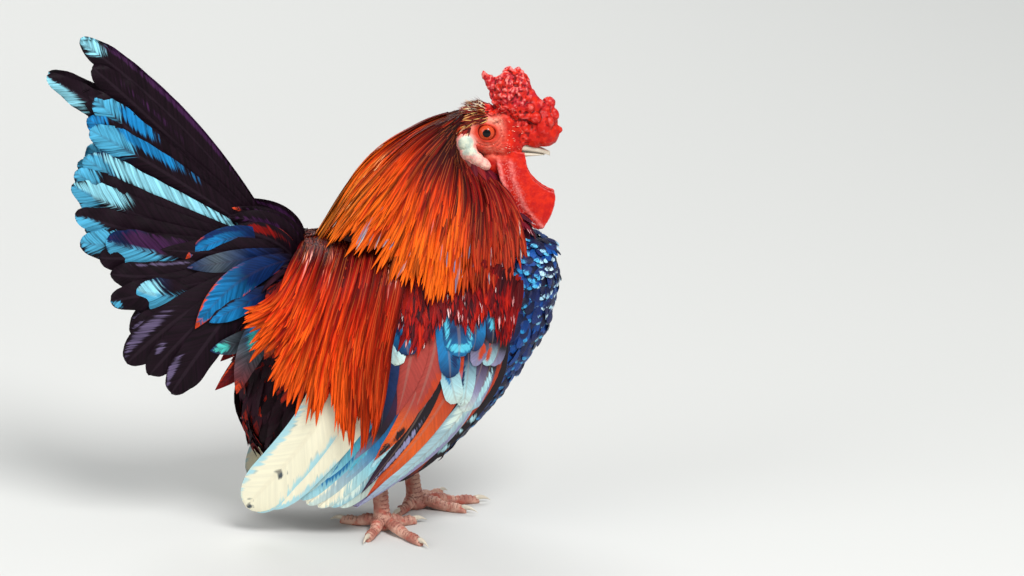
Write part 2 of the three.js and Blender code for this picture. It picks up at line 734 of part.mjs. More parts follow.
// Each leg: sole centre, hock and the four toes by heading in degrees (0 is forward) and length.
const LEGS = {
  right: {
    sole: [48, -23],
    hock: [45, -25, 50],
    toes: [
      { name: "middle", heading: -55, length: 45 },
      { name: "inner", heading: 30, length: 25 },
      { name: "outer", heading: -108, length: 30 },
      { name: "hind", heading: 153, length: 31 },
    ],
  },
  left: {
    sole: [68.5, 23],
    hock: [62, 24, 52],
    toes: [
      { name: "middle", heading: 16, length: 43 },
      { name: "inner", heading: -19, length: 35 },
      { name: "outer", heading: 60, length: 33 },
      { name: "hind", heading: -122, length: 22 },
    ],
  },
};
const SHANK_RADIUS = 5.2;
const SHANK_SIDES = 8;
const SCUTES = 5; // up the shank
const TOE_RADIUS = 4.3;
const TOE_TAPER = 0.72; // of that radius, at the root of the claw
const TOE_RINGS = 5;
const TOE_SIDES = 6;
const CLAW_RINGS = 4;
const ANKLE_UP = 11;
const CLAW = { length: 8, radius: 2.1, rootUp: 3.4, tipUp: 0.9, inside: 2.2 };
const FLAT_DEPTH = 0.8; // how far the rounded pads are pressed flat on the ground

const toeWay = ({ heading }) =>
  new THREE.Vector3(1, 0, 0).applyAxisAngle(new THREE.Vector3(0, 0, 1), THREE.MathUtils.degToRad(heading));

// A toe: swollen at its three joints, ringed with scutes above, pressed flat below.
function toeSolid(leg, toe) {
  const way = toeWay(toe);
  const across = new THREE.Vector3(-way.y, way.x, 0);
  const rings = [];
  for (let r = 0; r <= TOE_RINGS; r++) {
    const s = r / TOE_RINGS;
    const joints = 1 + 0.1 * Math.cos(s * Math.PI * (TOE_RINGS - 1));
    const radius = TOE_RADIUS * lerp(1.05, TOE_TAPER, s) * joints;
    const arch = ANKLE_UP * 0.45 * (1 - s) ** 2;
    const centre = new THREE.Vector3(...leg.sole, radius - FLAT_DEPTH + arch);
    centre.addScaledVector(way, toe.length * s);
    const ring = [];
    for (let k = 0; k < TOE_SIDES; k++) {
      const angle = (2 * Math.PI * k) / TOE_SIDES;
      const p = centre.clone().addScaledVector(across, radius * Math.cos(angle));
      p.z = Math.max(0, p.z + radius * Math.sin(angle));
      ring.push(p);
    }
    rings.push(ring);
  }
  const end = new THREE.Vector3(...leg.sole, TOE_RADIUS * TOE_TAPER - FLAT_DEPTH);
  end.addScaledVector(way, toe.length + 1.5);
  return ringSolid(rings, new THREE.Vector3(...leg.sole, TOE_RADIUS), end);
}

// A claw: a curved cone over the toe's end, its tip just off the ground.
function clawSolid(leg, toe, grow = 0) {
  const way = toeWay(toe);
  const across = new THREE.Vector3(-way.y, way.x, 0);
  const rings = [];
  for (let r = 0; r < CLAW_RINGS; r++) {
    const s = r / CLAW_RINGS;
    const radius = CLAW.radius * (1 - s ** 1.3) + grow;
    const up = CLAW.rootUp + 1.2 * Math.sin(s * 2.4) - 3 * s * s;
    const reach = toe.length - CLAW.inside + (CLAW.length + CLAW.inside) * s;
    const centre = new THREE.Vector3(...leg.sole, up).addScaledVector(way, reach);
    const ring = [];
    for (let k = 0; k < TOE_SIDES; k++) {
      const angle = (2 * Math.PI * k) / TOE_SIDES;
      const p = centre.clone().addScaledVector(across, 0.8 * radius * Math.cos(angle));
      p.z += radius * Math.sin(angle);
      ring.push(p);
    }
    rings.push(ring);
  }
  const root = new THREE.Vector3(...leg.sole, CLAW.rootUp);
  root.addScaledVector(way, toe.length - CLAW.inside - grow);
  const tip = new THREE.Vector3(...leg.sole, CLAW.tipUp);
  tip.addScaledVector(way, toe.length + CLAW.length + grow);
  return ringSolid(rings, root, tip);
}

// The shank: a column of scutes, each plate's lower edge standing out over the next.
function shankSolid(leg) {
  const low = new THREE.Vector3(...leg.sole, ANKLE_UP * 0.45);
  const high = new THREE.Vector3(...leg.hock);
  const rings = [];
  for (let r = 0; r <= 2 * SCUTES; r++) {
    const s = Math.floor((r + 1) / 2) / SCUTES + (r % 2 ? -0.015 : 0);
    const plate = r % 2 ? 1.0 : 1.1;
    const swell = 1 + 0.35 * smooth(clamp01(1 - s / 0.25)) + 0.25 * smooth(clamp01((s - 0.75) / 0.25));
    const centre = low.clone().lerp(high, clamp01(s));
    const ring = [];
    for (let k = 0; k < SHANK_SIDES; k++) {
      const angle = (2 * Math.PI * k) / SHANK_SIDES;
      const front = Math.cos(angle) > 0 ? plate : 1;
      ring.push(
        new THREE.Vector3(
          centre.x + SHANK_RADIUS * swell * front * Math.cos(angle),
          centre.y + 0.86 * SHANK_RADIUS * swell * front * Math.sin(angle),
          centre.z,
        ),
      );
    }
    rings.push(ring);
  }
  return ringSolid(rings, low.clone().setZ(low.z - 1), high.clone().setZ(high.z + 2));
}

function footSolid(leg) {
  const pad = geometrySolid(new THREE.SphereGeometry(1, 9, 6), (p) =>
    new THREE.Vector3(leg.sole[0] + 8 * p.x, leg.sole[1] + 7.5 * p.y, Math.max(0, 4.2 + 5.2 * p.z)),
  );
  return join([pad, shankSolid(leg), ...leg.toes.map((toe) => toeSolid(leg, toe))]);
}

// The feathered thigh, from the flank down to the hock: [ahead of the hock, out, up, radius].
const THIGH = [
  [11, 24, 92, 20],
  [9, 26, 76, 19],
  [5, 26, 58, 14],
  [1, 25, 44, 9.5],
  [0, 25, 36, 6.5],
];

const THIGH_SIDES = 12;

function thighSolid(leg, grow = 0) {
  const side = Math.sign(leg.sole[1]);
  const middles = THIGH.map(([ahead, out, up]) => new THREE.Vector3(leg.hock[0] + ahead, side * out, up));
  const rings = middles.map((middle, i) => {
    const radius = THIGH[i][3] + grow;
    return Array.from({ length: THIGH_SIDES }, (_, k) => {
      const angle = (2 * Math.PI * k) / THIGH_SIDES;
      const offset = new THREE.Vector3(1.15 * Math.cos(angle), 0.9 * Math.sin(angle), 0);
      return middle.clone().addScaledVector(offset, radius);
    });
  });
  const [first, last] = [middles[0], middles[middles.length - 1]];
  return ringSolid(rings, first.setZ(first.z + 3), last.setZ(last.z - 2 - grow));
}

// ---------------------------------------------------------------- finishes

const finish = (colour, roughness, metalness = 0) =>
  new THREE.MeshStandardMaterial({ color: new THREE.Color(...colour), roughness, metalness });

const DARK_PLUME = finish([0.05, 0.02, 0.05], 0.4);
const HACKLE = finish([0.72, 0.17, 0.03], 0.5);
const BREAST = finish([0.03, 0.05, 0.16], 0.45);
const WING_PLUME = finish([0.35, 0.16, 0.14], 0.5);
const RED_SKIN = finish([0.75, 0.03, 0.03], 0.5);
const FACE_SKIN = finish([0.7, 0.12, 0.1], 0.6);
const LOBE_SKIN = finish([0.75, 0.7, 0.66], 0.5);
const HORN = finish([0.75, 0.7, 0.58], 0.4);
const LEG_SCALE = finish([0.62, 0.36, 0.3], 0.6);
const IRIS = finish([0.45, 0.07, 0.03], 0.15);

// ---------------------------------------------------------------- the bird

const bird = new THREE.Group();
const nodes = [];

function node(name, solid, material) {
  nodes.push({ name, solid: largest(solid), material });
}

function addNode({ name, solid, material }, shift) {
  const { numProp, vertProperties, triVerts } = solid.translate(shift).getMesh();
  const geometry = new THREE.BufferGeometry();
  const positions = [];
  for (let i = 0; i < vertProperties.length; i += numProp)
    positions.push(...vertProperties.slice(i, i + 3));
  geometry.setAttribute("position", new THREE.Float32BufferAttribute(positions, 3));
  geometry.setIndex([...triVerts]);
  geometry.computeVertexNormals();
  const mesh = new THREE.Mesh(geometry, material);
  mesh.name = name;
  bird.add(mesh);
}

const sides = Object.entries(SIDES);
const both = (make) => sides.flatMap(([, side]) => make(side));
const torsoRoom = torsoCore(GAP);
const headRoom = headCore(GAP);
const eyeRooms = both((side) => eyeBall(side, GAP));
const lobeRooms = both((side) => earLobe(side, GAP));
const plumes = both((side) => [...saddle(side), ...coverts(side), ...vent(side)]);
const faceRims = both((side) => [lids(side), ear(side)]);

node("torso", join([torsoCore(), ...plumes]), BREAST);
node("neck", cut(join([neckCore(), ...cape()]), torsoRoom, headRoom, ...lobeRooms), HACKLE);
node("head", cut(join([headCore(), ...faceRims]), mouthCut(), ...eyeRooms), FACE_SKIN);
node("beak_upper", cut(bill({ upper: true }), headRoom, nostril(RIGHT), nostril(LEFT)), HORN);
node("beak_lower", cut(bill({ upper: false }), headRoom), HORN);
node("comb", cut(comb(), headRoom, bill({ upper: true, grow: GAP })), RED_SKIN);

for (const [word, side] of sides) {
  const leg = LEGS[word];
  node(`eye_${word}`, eyeBall(side), IRIS);
  node(`earlobe_${word}`, cut(earLobe(side), headRoom), LOBE_SKIN);
  const jawRoom = bill({ upper: false, grow: GAP });
  node(`wattle_${word}`, cut(wattle(side), headRoom, jawRoom, neckCore(GAP), torsoRoom), RED_SKIN);
  node(`wing_${word}`, cut(wing(side), torsoRoom), WING_PLUME);
  node(`thigh_${word}`, cut(thighSolid(leg), torsoRoom), DARK_PLUME);
  const clawRooms = leg.toes.map((toe) => clawSolid(leg, toe, GAP));
  node(`foot_${word}`, cut(footSolid(leg), thighSolid(leg, GAP), ...clawRooms), LEG_SCALE);
  for (const toe of leg.toes) node(`claw_${word}_${toe.name}`, clawSolid(leg, toe), HORN);
  node(`tail_${word}`, cut(tail(side), torsoRoom, otherSide(side)), DARK_PLUME);
}

// The origin lies below the middle of the whole bird.
const boxes = nodes.map(({ solid }) => solid.boundingBox());
const middle = [0, 1].map(
  (k) => (Math.min(...boxes.map((b) => b.min[k])) + Math.max(...boxes.map((b) => b.max[k]))) / 2,
);
nodes.forEach((one) => addNode(one, [-middle[0], -middle[1], 0]));

export default bird;
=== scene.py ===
import math

import bmesh
import bpy
import numpy as np
from mathutils import Matrix, Vector, noise


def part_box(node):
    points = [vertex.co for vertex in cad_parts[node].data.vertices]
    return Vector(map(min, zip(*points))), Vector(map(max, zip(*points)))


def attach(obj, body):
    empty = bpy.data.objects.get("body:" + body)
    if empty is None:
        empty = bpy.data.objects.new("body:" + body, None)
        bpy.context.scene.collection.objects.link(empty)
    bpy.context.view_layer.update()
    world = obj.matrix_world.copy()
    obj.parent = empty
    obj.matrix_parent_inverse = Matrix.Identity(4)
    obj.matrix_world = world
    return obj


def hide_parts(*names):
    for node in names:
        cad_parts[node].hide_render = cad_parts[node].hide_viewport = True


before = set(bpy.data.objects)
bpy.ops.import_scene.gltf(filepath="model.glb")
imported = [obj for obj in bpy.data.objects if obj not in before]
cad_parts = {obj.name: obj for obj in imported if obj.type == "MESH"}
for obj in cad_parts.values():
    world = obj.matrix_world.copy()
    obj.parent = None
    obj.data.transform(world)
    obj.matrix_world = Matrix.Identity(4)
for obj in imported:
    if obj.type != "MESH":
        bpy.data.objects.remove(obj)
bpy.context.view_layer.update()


# ---------------------------------------------------------------------------------------------
# The body under the plumage. On the live bird it is thin dark skin over muscle, from the shoulders
# and breast to the rump and both thighs. Nearly all of it is covered by feathers.

MM = 0.001
TORSO_ENDS = [-44, 161.5]
TORSO_SPAN = 206
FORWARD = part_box("torso")[1].x / MM - TORSO_ENDS[1]
# forward, top, bottom, half width
TORSO = np.array(
    [
        [-44, 112, 96, 0],
        [-38, 152, 68, 22],
        [-15, 178, 51, 36],
        [15, 181, 44, 44],
        [50, 181, 42, 47],
        [85, 184, 47, 47],
        [115, 190, 75, 43],
        [138, 192, 105, 35],
        [154, 186, 132, 22],
        [161.5, 166, 160, 0],
    ]
)
KEEL = 0.2
BROAD = 0.8
COAT_DEPTH = 3.0
SKIN_VOXEL = 2.0
# centre and half sizes of the masses of the neck and of one thigh, right side
NECK_MASSES = [
    [(104, 0, 246), (11, 10, 18)],
    [(97, 0, 226), (23, 19, 24)],
    [(88, 0, 200), (38, 36, 28)],
    [(105, 0, 208), (24, 24, 24)],
    [(119, 0, 199), (22, 20, 17)],
    [(60, 0, 190), (42, 32, 16)],
]
RUMP_MASSES = [[(-27, 4, 164), (14, 9, 26)], [(-27, -4, 164), (14, 9, 26)]]
THIGH_MASSES = [
    [(55, 25, 84), (18, 15, 26)],
    [(50, 26, 62), (13, 11, 20)],
    [(46, 25, 46), (7.6, 6.6, 15)],
]
HOCK_STEP = {-1: 0, 1: 17}
SKIN_TONES = {
    "rump": (0.020, 0.006, 0.012),
    "back": (0.080, 0.010, 0.008),
    "breast": (0.010, 0.020, 0.070),
    "neck": (0.140, 0.020, 0.006),
    "pores": (0.006, 0.002, 0.003),
}


def held(value):
    """A value held between 0 and 1."""
    return np.clip(value, 0, 1)


def station(table, place):
    """Values at places along a table whose first column is that place, smoothly joined."""
    i = np.clip(np.searchsorted(table[:, 0], place) - 1, 0, len(table) - 2)
    before = table[np.maximum(i - 1, 0), 1:]
    here = table[i, 1:]
    ahead = table[i + 1, 1:]
    after = table[np.minimum(i + 2, len(table) - 1), 1:]
    s = held((place - table[i, 0]) / (table[i + 1, 0] - table[i, 0]))[:, None]
    rise = s * s * (3 - 2 * s)
    slope_in = (ahead - before) / 2
    slope_out = (after - here) / 2
    return here + (ahead - here) * rise + slope_in * s * (1 - s) ** 2 - slope_out * s * s * (1 - s)


def torso_point(forward, angle, grow):
    """Points on the torso, in millimetres. The angle runs from the back, 0, to the keel, pi."""
    top, bottom, half_width = station(TORSO, forward).T
    low = (1 - np.cos(angle)) / 2
    across = np.sign(np.sin(angle)) * np.abs(np.sin(angle)) ** BROAD
    tall = np.sign(np.cos(angle)) * np.abs(np.cos(angle)) ** BROAD
    out = across * np.maximum(half_width + grow, 0) * (1 - KEEL * low)
    up = (top + bottom) / 2 + tall * np.maximum((top - bottom) / 2 + grow, 0)
    return np.stack([forward + FORWARD, out, up], axis=-1)


def add_ball(shape, around, tall):
    """Adds a ball of radius 1, and gives its verts and their places."""
    verts = bmesh.ops.create_uvsphere(shape, u_segments=around, v_segments=tall, radius=1)["verts"]
    return verts, np.array([vert.co for vert in verts])


def put(verts, places):
    """Moves verts to places in millimetres."""
    for vert, place in zip(verts, places):
        vert.co = Vector(place * MM)


def add_egg(shape, centre, radii, pitch=0.0, around=24, tall=16):
    """Adds an ellipsoid, turned about the side-to-side axis; sizes in millimetres."""
    verts, _ = add_ball(shape, around, tall)
    turn = Matrix.Rotation(pitch, 4, "Y")
    size = Matrix.Diagonal((*[MM * r for r in radii], 1))
    place = Matrix.Translation([MM * (centre[0] + FORWARD), MM * centre[1], MM * centre[2]])
    bmesh.ops.transform(shape, matrix=place @ turn @ size, verts=verts)
    return verts


def add_many_eggs(shape, centres, radii, around=10, tall=8):
    """Adds ellipsoids in their hundreds, as one row of copies set in place; sizes in millimetres."""
    single = bmesh.new()
    add_ball(single, around, tall)
    ball = np.array([vert.co for vert in single.verts])
    eggs = object_from(single, "eggs")
    repeat(eggs, len(centres))
    move_points(eggs, centres[:, None] + [FORWARD, 0, 0] + ball[None] * radii[:, None])
    shape.from_mesh(eggs.data)
    bpy.data.objects.remove(eggs)


def object_from(shape, name):
    """An object with this bmesh as its mesh, its faces smooth and turned outwards."""
    bmesh.ops.recalc_face_normals(shape, faces=shape.faces)
    mesh = bpy.data.meshes.new(name)
    shape.to_mesh(mesh)
    shape.free()
    mesh.shade_smooth()
    piece = bpy.data.objects.new(name, mesh)
    bpy.context.scene.collection.objects.link(piece)
    return piece


def settle(piece):
    """Bakes the piece's modifiers into its mesh."""
    bpy.context.view_layer.update()
    seen = piece.evaluated_get(bpy.context.evaluated_depsgraph_get())
    mesh = bpy.data.meshes.new_from_object(seen)
    piece.modifiers.clear()
    piece.data = mesh
    mesh.name = piece.name
    mesh.shade_smooth()


def repeat(piece, count):
    """Makes the piece a number of copies of itself, all in one place."""
    row = piece.modifiers.new("row", "ARRAY")
    row.use_relative_offset = False
    row.use_constant_offset = False
    row.count = count
    settle(piece)


def fuse(piece, voxel, rounds):
    """Melts overlapping closed forms into one surface with quads of that size, then smooths it."""
    melt = piece.modifiers.new("melt", "REMESH")
    melt.mode = "VOXEL"
    melt.voxel_size = voxel * MM
    ease = piece.modifiers.new("ease", "SMOOTH")
    ease.factor = 0.5
    ease.iterations = rounds
    settle(piece)


def of_points(piece, what):
    """The "co" or the "normal" of each of the piece's vertices."""
    values = np.empty(len(piece.data.vertices) * 3)
    piece.data.vertices.foreach_get(what, values)
    return values.reshape(-1, 3)


def move_points(piece, places):
    """Moves the piece's vertices to places in millimetres."""
    piece.data.vertices.foreach_set("co", (places * MM).ravel())
    piece.data.update()


def mark_points(piece, name, values):
    """Gives each vertex of the piece a number, under a name that its material reads."""
    piece.data.attributes.new(name, "FLOAT", "POINT").data.foreach_set("value", values.ravel())


body_shape = bmesh.new()
torso_verts, ball = add_ball(body_shape, 48, 36)
torso_forward = TORSO_ENDS[0] + (TORSO_ENDS[1] - TORSO_ENDS[0]) * (1 - ball[:, 2]) / 2
put(torso_verts, torso_point(torso_forward, np.arctan2(ball[:, 1], ball[:, 0]), -COAT_DEPTH))
for centre, radii in NECK_MASSES + RUMP_MASSES:
    add_egg(body_shape, centre, radii)
for side, step in HOCK_STEP.items():
    for centre, radii in THIGH_MASSES:
        add_egg(body_shape, (centre[0] + step, side * centre[1], centre[2]), radii)
body = object_from(body_shape, "body_skin")
fuse(body, SKIN_VOXEL, 6)


def finish(name, base, roughness, **settings):
    """A material with a Principled BSDF; settings are its plain socket values."""
    material = bpy.data.materials.new(name)
    material.use_nodes = True
    shader = material.node_tree.nodes["Principled BSDF"]
    shader.inputs["Base Color"].default_value = (*base, 1)
    shader.inputs["Roughness"].default_value = roughness
    for socket, value in settings.items():
        shader.inputs[socket.replace("_", " ").title().replace("Ior", "IOR")].default_value = value
    return material


class Dye:
    """The nodes of a finish, or of a shader group, and the steps that make up their colours."""

    def __init__(self, tree):
        self.tree = tree

    def feed(self, socket, value):
        """Gives an input another node's output, or a plain value."""
        if isinstance(value, bpy.types.NodeSocket):
            self.tree.links.new(value, socket)
        else:
            socket.default_value = value

    def node(self, kind, settings=(), **inputs):
        """A node with properties set, and its inputs fed by name, or by number as i0, i1."""
        node = self.tree.nodes.new("ShaderNode" + kind)
        for key, value in dict(settings).items():
            setattr(node, key, value)
        for name, value in inputs.items():
            self.feed(node.inputs[int(name[1:]) if name[1:].isdigit() else name], value)
        return node

    def place(self):
        """Where each point of the piece lies, in metres."""
        return self.node("TexCoord").outputs["Object"]

    def read(self, name, output="Fac"):
        """What the points of the mesh hold under a name."""
        return self.node("Attribute", {"attribute_name": name}).outputs[output]

    def noise(self, place, scale, detail, roughness=0.5):
        """Soft blotches, from 0 to 1."""
        inputs = {"Vector": place, "Scale": scale, "Detail": detail, "Roughness": roughness}
        return self.node("TexNoise", **inputs).outputs[0]

    def math(self, operation, a, b=0.5, c=0.5):
        """One Math node's value."""
        return self.node("Math", {"operation": operation}, i0=a, i1=b, i2=c).outputs[0]

    def times(self, a, b, plus=None):
        """A product, and what is added to it."""
        if plus is None:
            return self.math("MULTIPLY", a, b)
        return self.math("MULTIPLY_ADD", a, b, plus)

    def mix(self, share, a, b, blend="MIX"):
        """Colour a, with its share of colour b laid over it."""
        node = self.node("Mix", {"data_type": "RGBA", "blend_type": blend}, i0=share)
        for socket, value in ((node.inputs[6], a), (node.inputs[7], b)):
            self.feed(socket, value if isinstance(value, bpy.types.NodeSocket) else (*value, 1))
        return node.outputs[2]

    def span(self, value, low, high, to_low=0.0, to_high=1.0):
        """A value moved from one range to another, and kept inside it."""
        node = self.node("MapRange", {"interpolation_type": "SMOOTHSTEP"}, Value=value)
        for socket, limit in zip(("From Min", "From Max", "To Min", "To Max"), (low, high, to_low, to_high)):
            node.inputs[socket].default_value = limit
        return node.outputs["Result"]

    def lay(self, colour, height=None, strength=0.0, distance=0.0):
        """Feeds the finish its colour, and its fine relief."""
        shader = self.tree.nodes["Principled BSDF"]
        self.feed(shader.inputs["Base Color"], colour)
        if height is not None:
            bump = self.node("Bump", Strength=strength, Distance=distance, Height=height)
            self.feed(shader.inputs["Normal"], bump.outputs["Normal"])


skin_finish = finish("body_skin", SKIN_TONES["back"], 0.7)
skin = Dye(skin_finish.node_tree)
skin_place = skin.place()
skin_axes = skin.node("SeparateXYZ", Vector=skin_place).outputs
# tinted as the plumage over it: nearly black at the rump, blue on the breast, red on the neck
skin_colour = skin.mix(skin.span(skin_axes["X"], -0.01, 0.02), SKIN_TONES["rump"], SKIN_TONES["back"])
skin_colour = skin.mix(skin.span(skin_axes["X"], 0.09, 0.12), skin_colour, SKIN_TONES["breast"])
skin_colour = skin.mix(skin.span(skin_axes["Z"], 0.195, 0.215), skin_colour, SKIN_TONES["neck"])
skin_grain = skin.noise(skin_place, 260.0, 4.0)
skin_colour = skin.mix(skin.span(skin_grain, 0.35, 0.65, 0.0, 0.7), skin_colour, SKIN_TONES["pores"])
skin.lay(skin_colour, skin_grain, 0.4, 0.0006)
body.data.materials.append(skin_finish)
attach(body, "root")
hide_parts("torso", "neck", "thigh_right", "thigh_left")


# ---------------------------------------------------------------------------------------------
# Legs and feet. Bare pinkish-tan shanks and four toes each, covered by overlapping plates of horn
# in front and by small scales at the sides, with soft pads below that are pressed flat by weight.

LEGS = {
    -1: {
        "word": "right",
        "sole": (48, -23),
        "hock": (45, -25, 50),
        "toes": {"middle": (-55, 45), "inner": (30, 25), "outer": (-108, 30), "hind": (153, 31)},
    },
    1: {
        "word": "left",
        "sole": (68.5, 23),
        "hock": (62, 24, 52),
        "toes": {"middle": (16, 43), "inner": (-19, 35), "outer": (60, 33), "hind": (-122, 22)},
    },
}
SHANK_RADIUS = 5.1
SHANK_RINGS = 64
SHANK_POINTS = 20
SHANK_FLAT = 0.86
TOE_RADIUS = 4.1
TOE_TAPER = 0.7
TOE_RINGS_PER_MM = 1.6
TOE_POINTS = 16
SOLE_FLAT = 0.8
FOOT_UP = 4.95
SCUTE_PITCH = 2.9
SCUTE_RISE = 0.75
SCUTE_JOINT = 0.3
ROUGH_RISE = 0.22
ROUGH_SIZE = 1.1
FOOT_VOXEL = 0.55
CLAW_LENGTH = 8.0
CLAW_ROOT = 3.2
CLAW_RADIUS = 2.0
CLAW_RINGS = 12
CLAW_POINTS = 12
CLAW_FLAT = 0.8
LEG_TONES = {
    "tan": (0.40, 0.15, 0.11),
    "pale": (0.68, 0.40, 0.30),
    # dark in the joints between the plates, and painted shade down in the hollows
    "joint_dark_and_shade": (0.16, 0.04, 0.03),
    "flush": (0.46, 0.08, 0.05),
}
HORN_TONES = ((0.42, 0.33, 0.24), (0.82, 0.76, 0.62))


def loft(shape, rings):
    """Extrudes a capped circle through rings of points, in millimetres, all of one count."""
    rings = [[Vector(p) * MM for p in ring] for ring in rings]
    made = bmesh.ops.create_circle(shape, cap_ends=True, segments=len(rings[0]), radius=1)["verts"]
    cap = made[0].link_faces[0]
    ordered = list(cap.verts)
    for vert, place in zip(ordered, rings[0]):
        vert.co = place
    for count, ring in enumerate(rings[1:]):
        grown = bmesh.ops.extrude_face_region(shape, geom=[cap], use_keep_orig=count == 0)["geom"]
        if count:
            bmesh.ops.delete(shape, geom=[f for f in [cap] if f.is_valid], context="FACES_ONLY")
        cap = [item for item in grown if isinstance(item, bmesh.types.BMFace)][0]
        fresh = {tuple(round(x, 7) for x in vert.co): vert for vert in cap.verts}
        ordered = [fresh[tuple(round(x, 7) for x in old.co)] for old in ordered]
        for vert, place in zip(ordered, ring):
            vert.co = place


def circle(count):
    """Cosine and sine of equal steps round a circle."""
    angles = [2 * math.pi * k / count for k in range(count)]
    return [(math.cos(angle), math.sin(angle)) for angle in angles]


def foot_middle(leg):
    """Where the shank and the toes of a foot meet."""
    return Vector((leg["sole"][0] + FORWARD, leg["sole"][1], FOOT_UP))


def toe_way(heading):
    """The way a toe points on the ground, and the way across it."""
    way = Vector((math.cos(heading), math.sin(heading), 0))
    return way, Vector((-way.y, way.x, 0))


def toe_rings(leg, heading, length):
    """A toe's rings: swollen at the joints, pressed flat below."""
    way, beside = toe_way(heading)
    count = int(length * TOE_RINGS_PER_MM)
    rings = []
    for r in range(count + 1):
        s = r / count
        joints = 1 + 0.09 * math.cos(s * math.pi * 5)
        radius = TOE_RADIUS * (1.05 + (TOE_TAPER - 1.05) * s) * joints
        radius *= math.sqrt(max(0.05, 1 - max(0.0, (s - 0.93) / 0.075) ** 2))
        centre = foot_middle(leg) + way * length * s
        centre.z = radius - SOLE_FLAT + FOOT_UP * (1 - s) ** 2
        ring = []
        for out, up in circle(TOE_POINTS):
            p = centre + beside * radius * out * 0.95
            p.z = max(0.0, p.z + radius * up)
            ring.append(p)
        rings.append(ring)
    return rings


def shank_rings(leg):
    """The shank's rings, from inside the foot up into the thigh's feathers."""
    high = Vector((leg["hock"][0] + FORWARD, *leg["hock"][1:]))
    rings = []
    for r in range(SHANK_RINGS + 1):
        s = r / SHANK_RINGS
        swell = 1 + 0.35 * (1 - min(1, s / 0.25)) ** 2 + 0.22 * max(0, (s - 0.75) / 0.25) ** 2
        radius = SHANK_RADIUS * swell
        centre = foot_middle(leg).lerp(high, s)
        ring = [Vector((ahead, SHANK_FLAT * out, 0)) for ahead, out in circle(SHANK_POINTS)]
        rings.append([centre + radius * way for way in ring])
    return rings


def claw_rings(leg, heading, length):
    """A claw's rings, from inside the toe, arched over and down to a blunt point."""
    way, beside = toe_way(heading)
    rings = []
    for r in range(CLAW_RINGS + 1):
        s = r / CLAW_RINGS
        radius = max(0.12, CLAW_RADIUS * (1 - s**1.5))
        centre = foot_middle(leg) + way * (length - CLAW_ROOT + (CLAW_LENGTH + 3.0) * s)
        centre.z = 3.4 + 1.2 * math.sin(s * 2.4) - 3.1 * s * s
        ring = [(CLAW_FLAT * radius * out, radius * up) for out, up in circle(CLAW_POINTS)]
        rings.append([centre + beside * out + Vector((0, 0, up)) for out, up in ring])
    return rings


def plates(place, normal, leg):
    """How far the horn stands out at points on a leg, and 1 in the joints between its plates.

    The plates lie in one row down the front of the shank and one along the top of each toe. Each
    rises towards its lower end and overlaps the next.
    """
    middle = np.array(foot_middle(leg))
    hock = np.array([leg["hock"][0] + FORWARD, *leg["hock"][1:]])
    rows = [(hock, middle - hock, SHANK_RADIUS, np.array([0.97, -0.25, 0]))]
    for heading, length in leg["toes"].values():
        way = np.array(toe_way(math.radians(heading))[0])
        rows.append((middle, way * length, TOE_RADIUS, np.array([0, 0, 1])))
    nearest = np.full(len(place), np.inf)
    rise, joint = np.zeros((2, len(place)))
    for start, reach, radius, front in rows:
        length = np.linalg.norm(reach)
        gone = (place - start) @ reach / length
        off = place - start - held(gone / length)[:, None] * reach
        off = np.linalg.norm(off, axis=1) / radius
        share = gone / SCUTE_PITCH % 1
        plated = held(2.5 * (normal @ front))
        rise = np.where(off < nearest, plated * (share**1.3 - 0.55), rise)
        joint = np.where(off < nearest, plated * held(1 - share / SCUTE_JOINT), joint)
        nearest = np.minimum(nearest, off)
    return rise * SCUTE_RISE, joint


leg_finish = finish("leg_scales", LEG_TONES["tan"], 0.55, specular_ior_level=0.35)
scales = Dye(leg_finish.node_tree)
leg_place = scales.place()
leg_mottle = scales.noise(leg_place, 95.0, 5.0)
leg_colour = scales.mix(scales.span(leg_mottle, 0.38, 0.64), LEG_TONES["tan"], LEG_TONES["pale"])
leg_hollow = scales.node("NewGeometry").outputs["Pointiness"]
# painted shade: darker down in the hollows between the scales, found by Pointiness
leg_colour = scales.mix(scales.span(leg_hollow, 0.50, 0.46, 0.0, 0.75), leg_colour, LEG_TONES["joint_dark_and_shade"])
leg_colour = scales.mix(scales.times(scales.read("joint"), 0.7), leg_colour, LEG_TONES["joint_dark_and_shade"])
leg_flush = scales.noise(leg_place, 160.0, 3.0)
leg_colour = scales.mix(scales.span(leg_flush, 0.52, 0.66, 0.0, 0.7), leg_colour, LEG_TONES["flush"])
leg_cells = scales.node("TexVoronoi", Vector=leg_place, Scale=520.0).outputs["Distance"]
scales.lay(leg_colour, leg_cells, 0.7, 0.0005)

horn_finish = finish("horn", HORN_TONES[0], 0.3, coat_weight=0.25, coat_roughness=0.3)
horn = Dye(horn_finish.node_tree)
horn_run = horn.node("Mapping", Vector=horn.place(), Scale=(60.0, 420.0, 420.0)).outputs[0]
horn.lay(horn.mix(horn.noise(horn_run, 1.0, 4.0), *HORN_TONES))

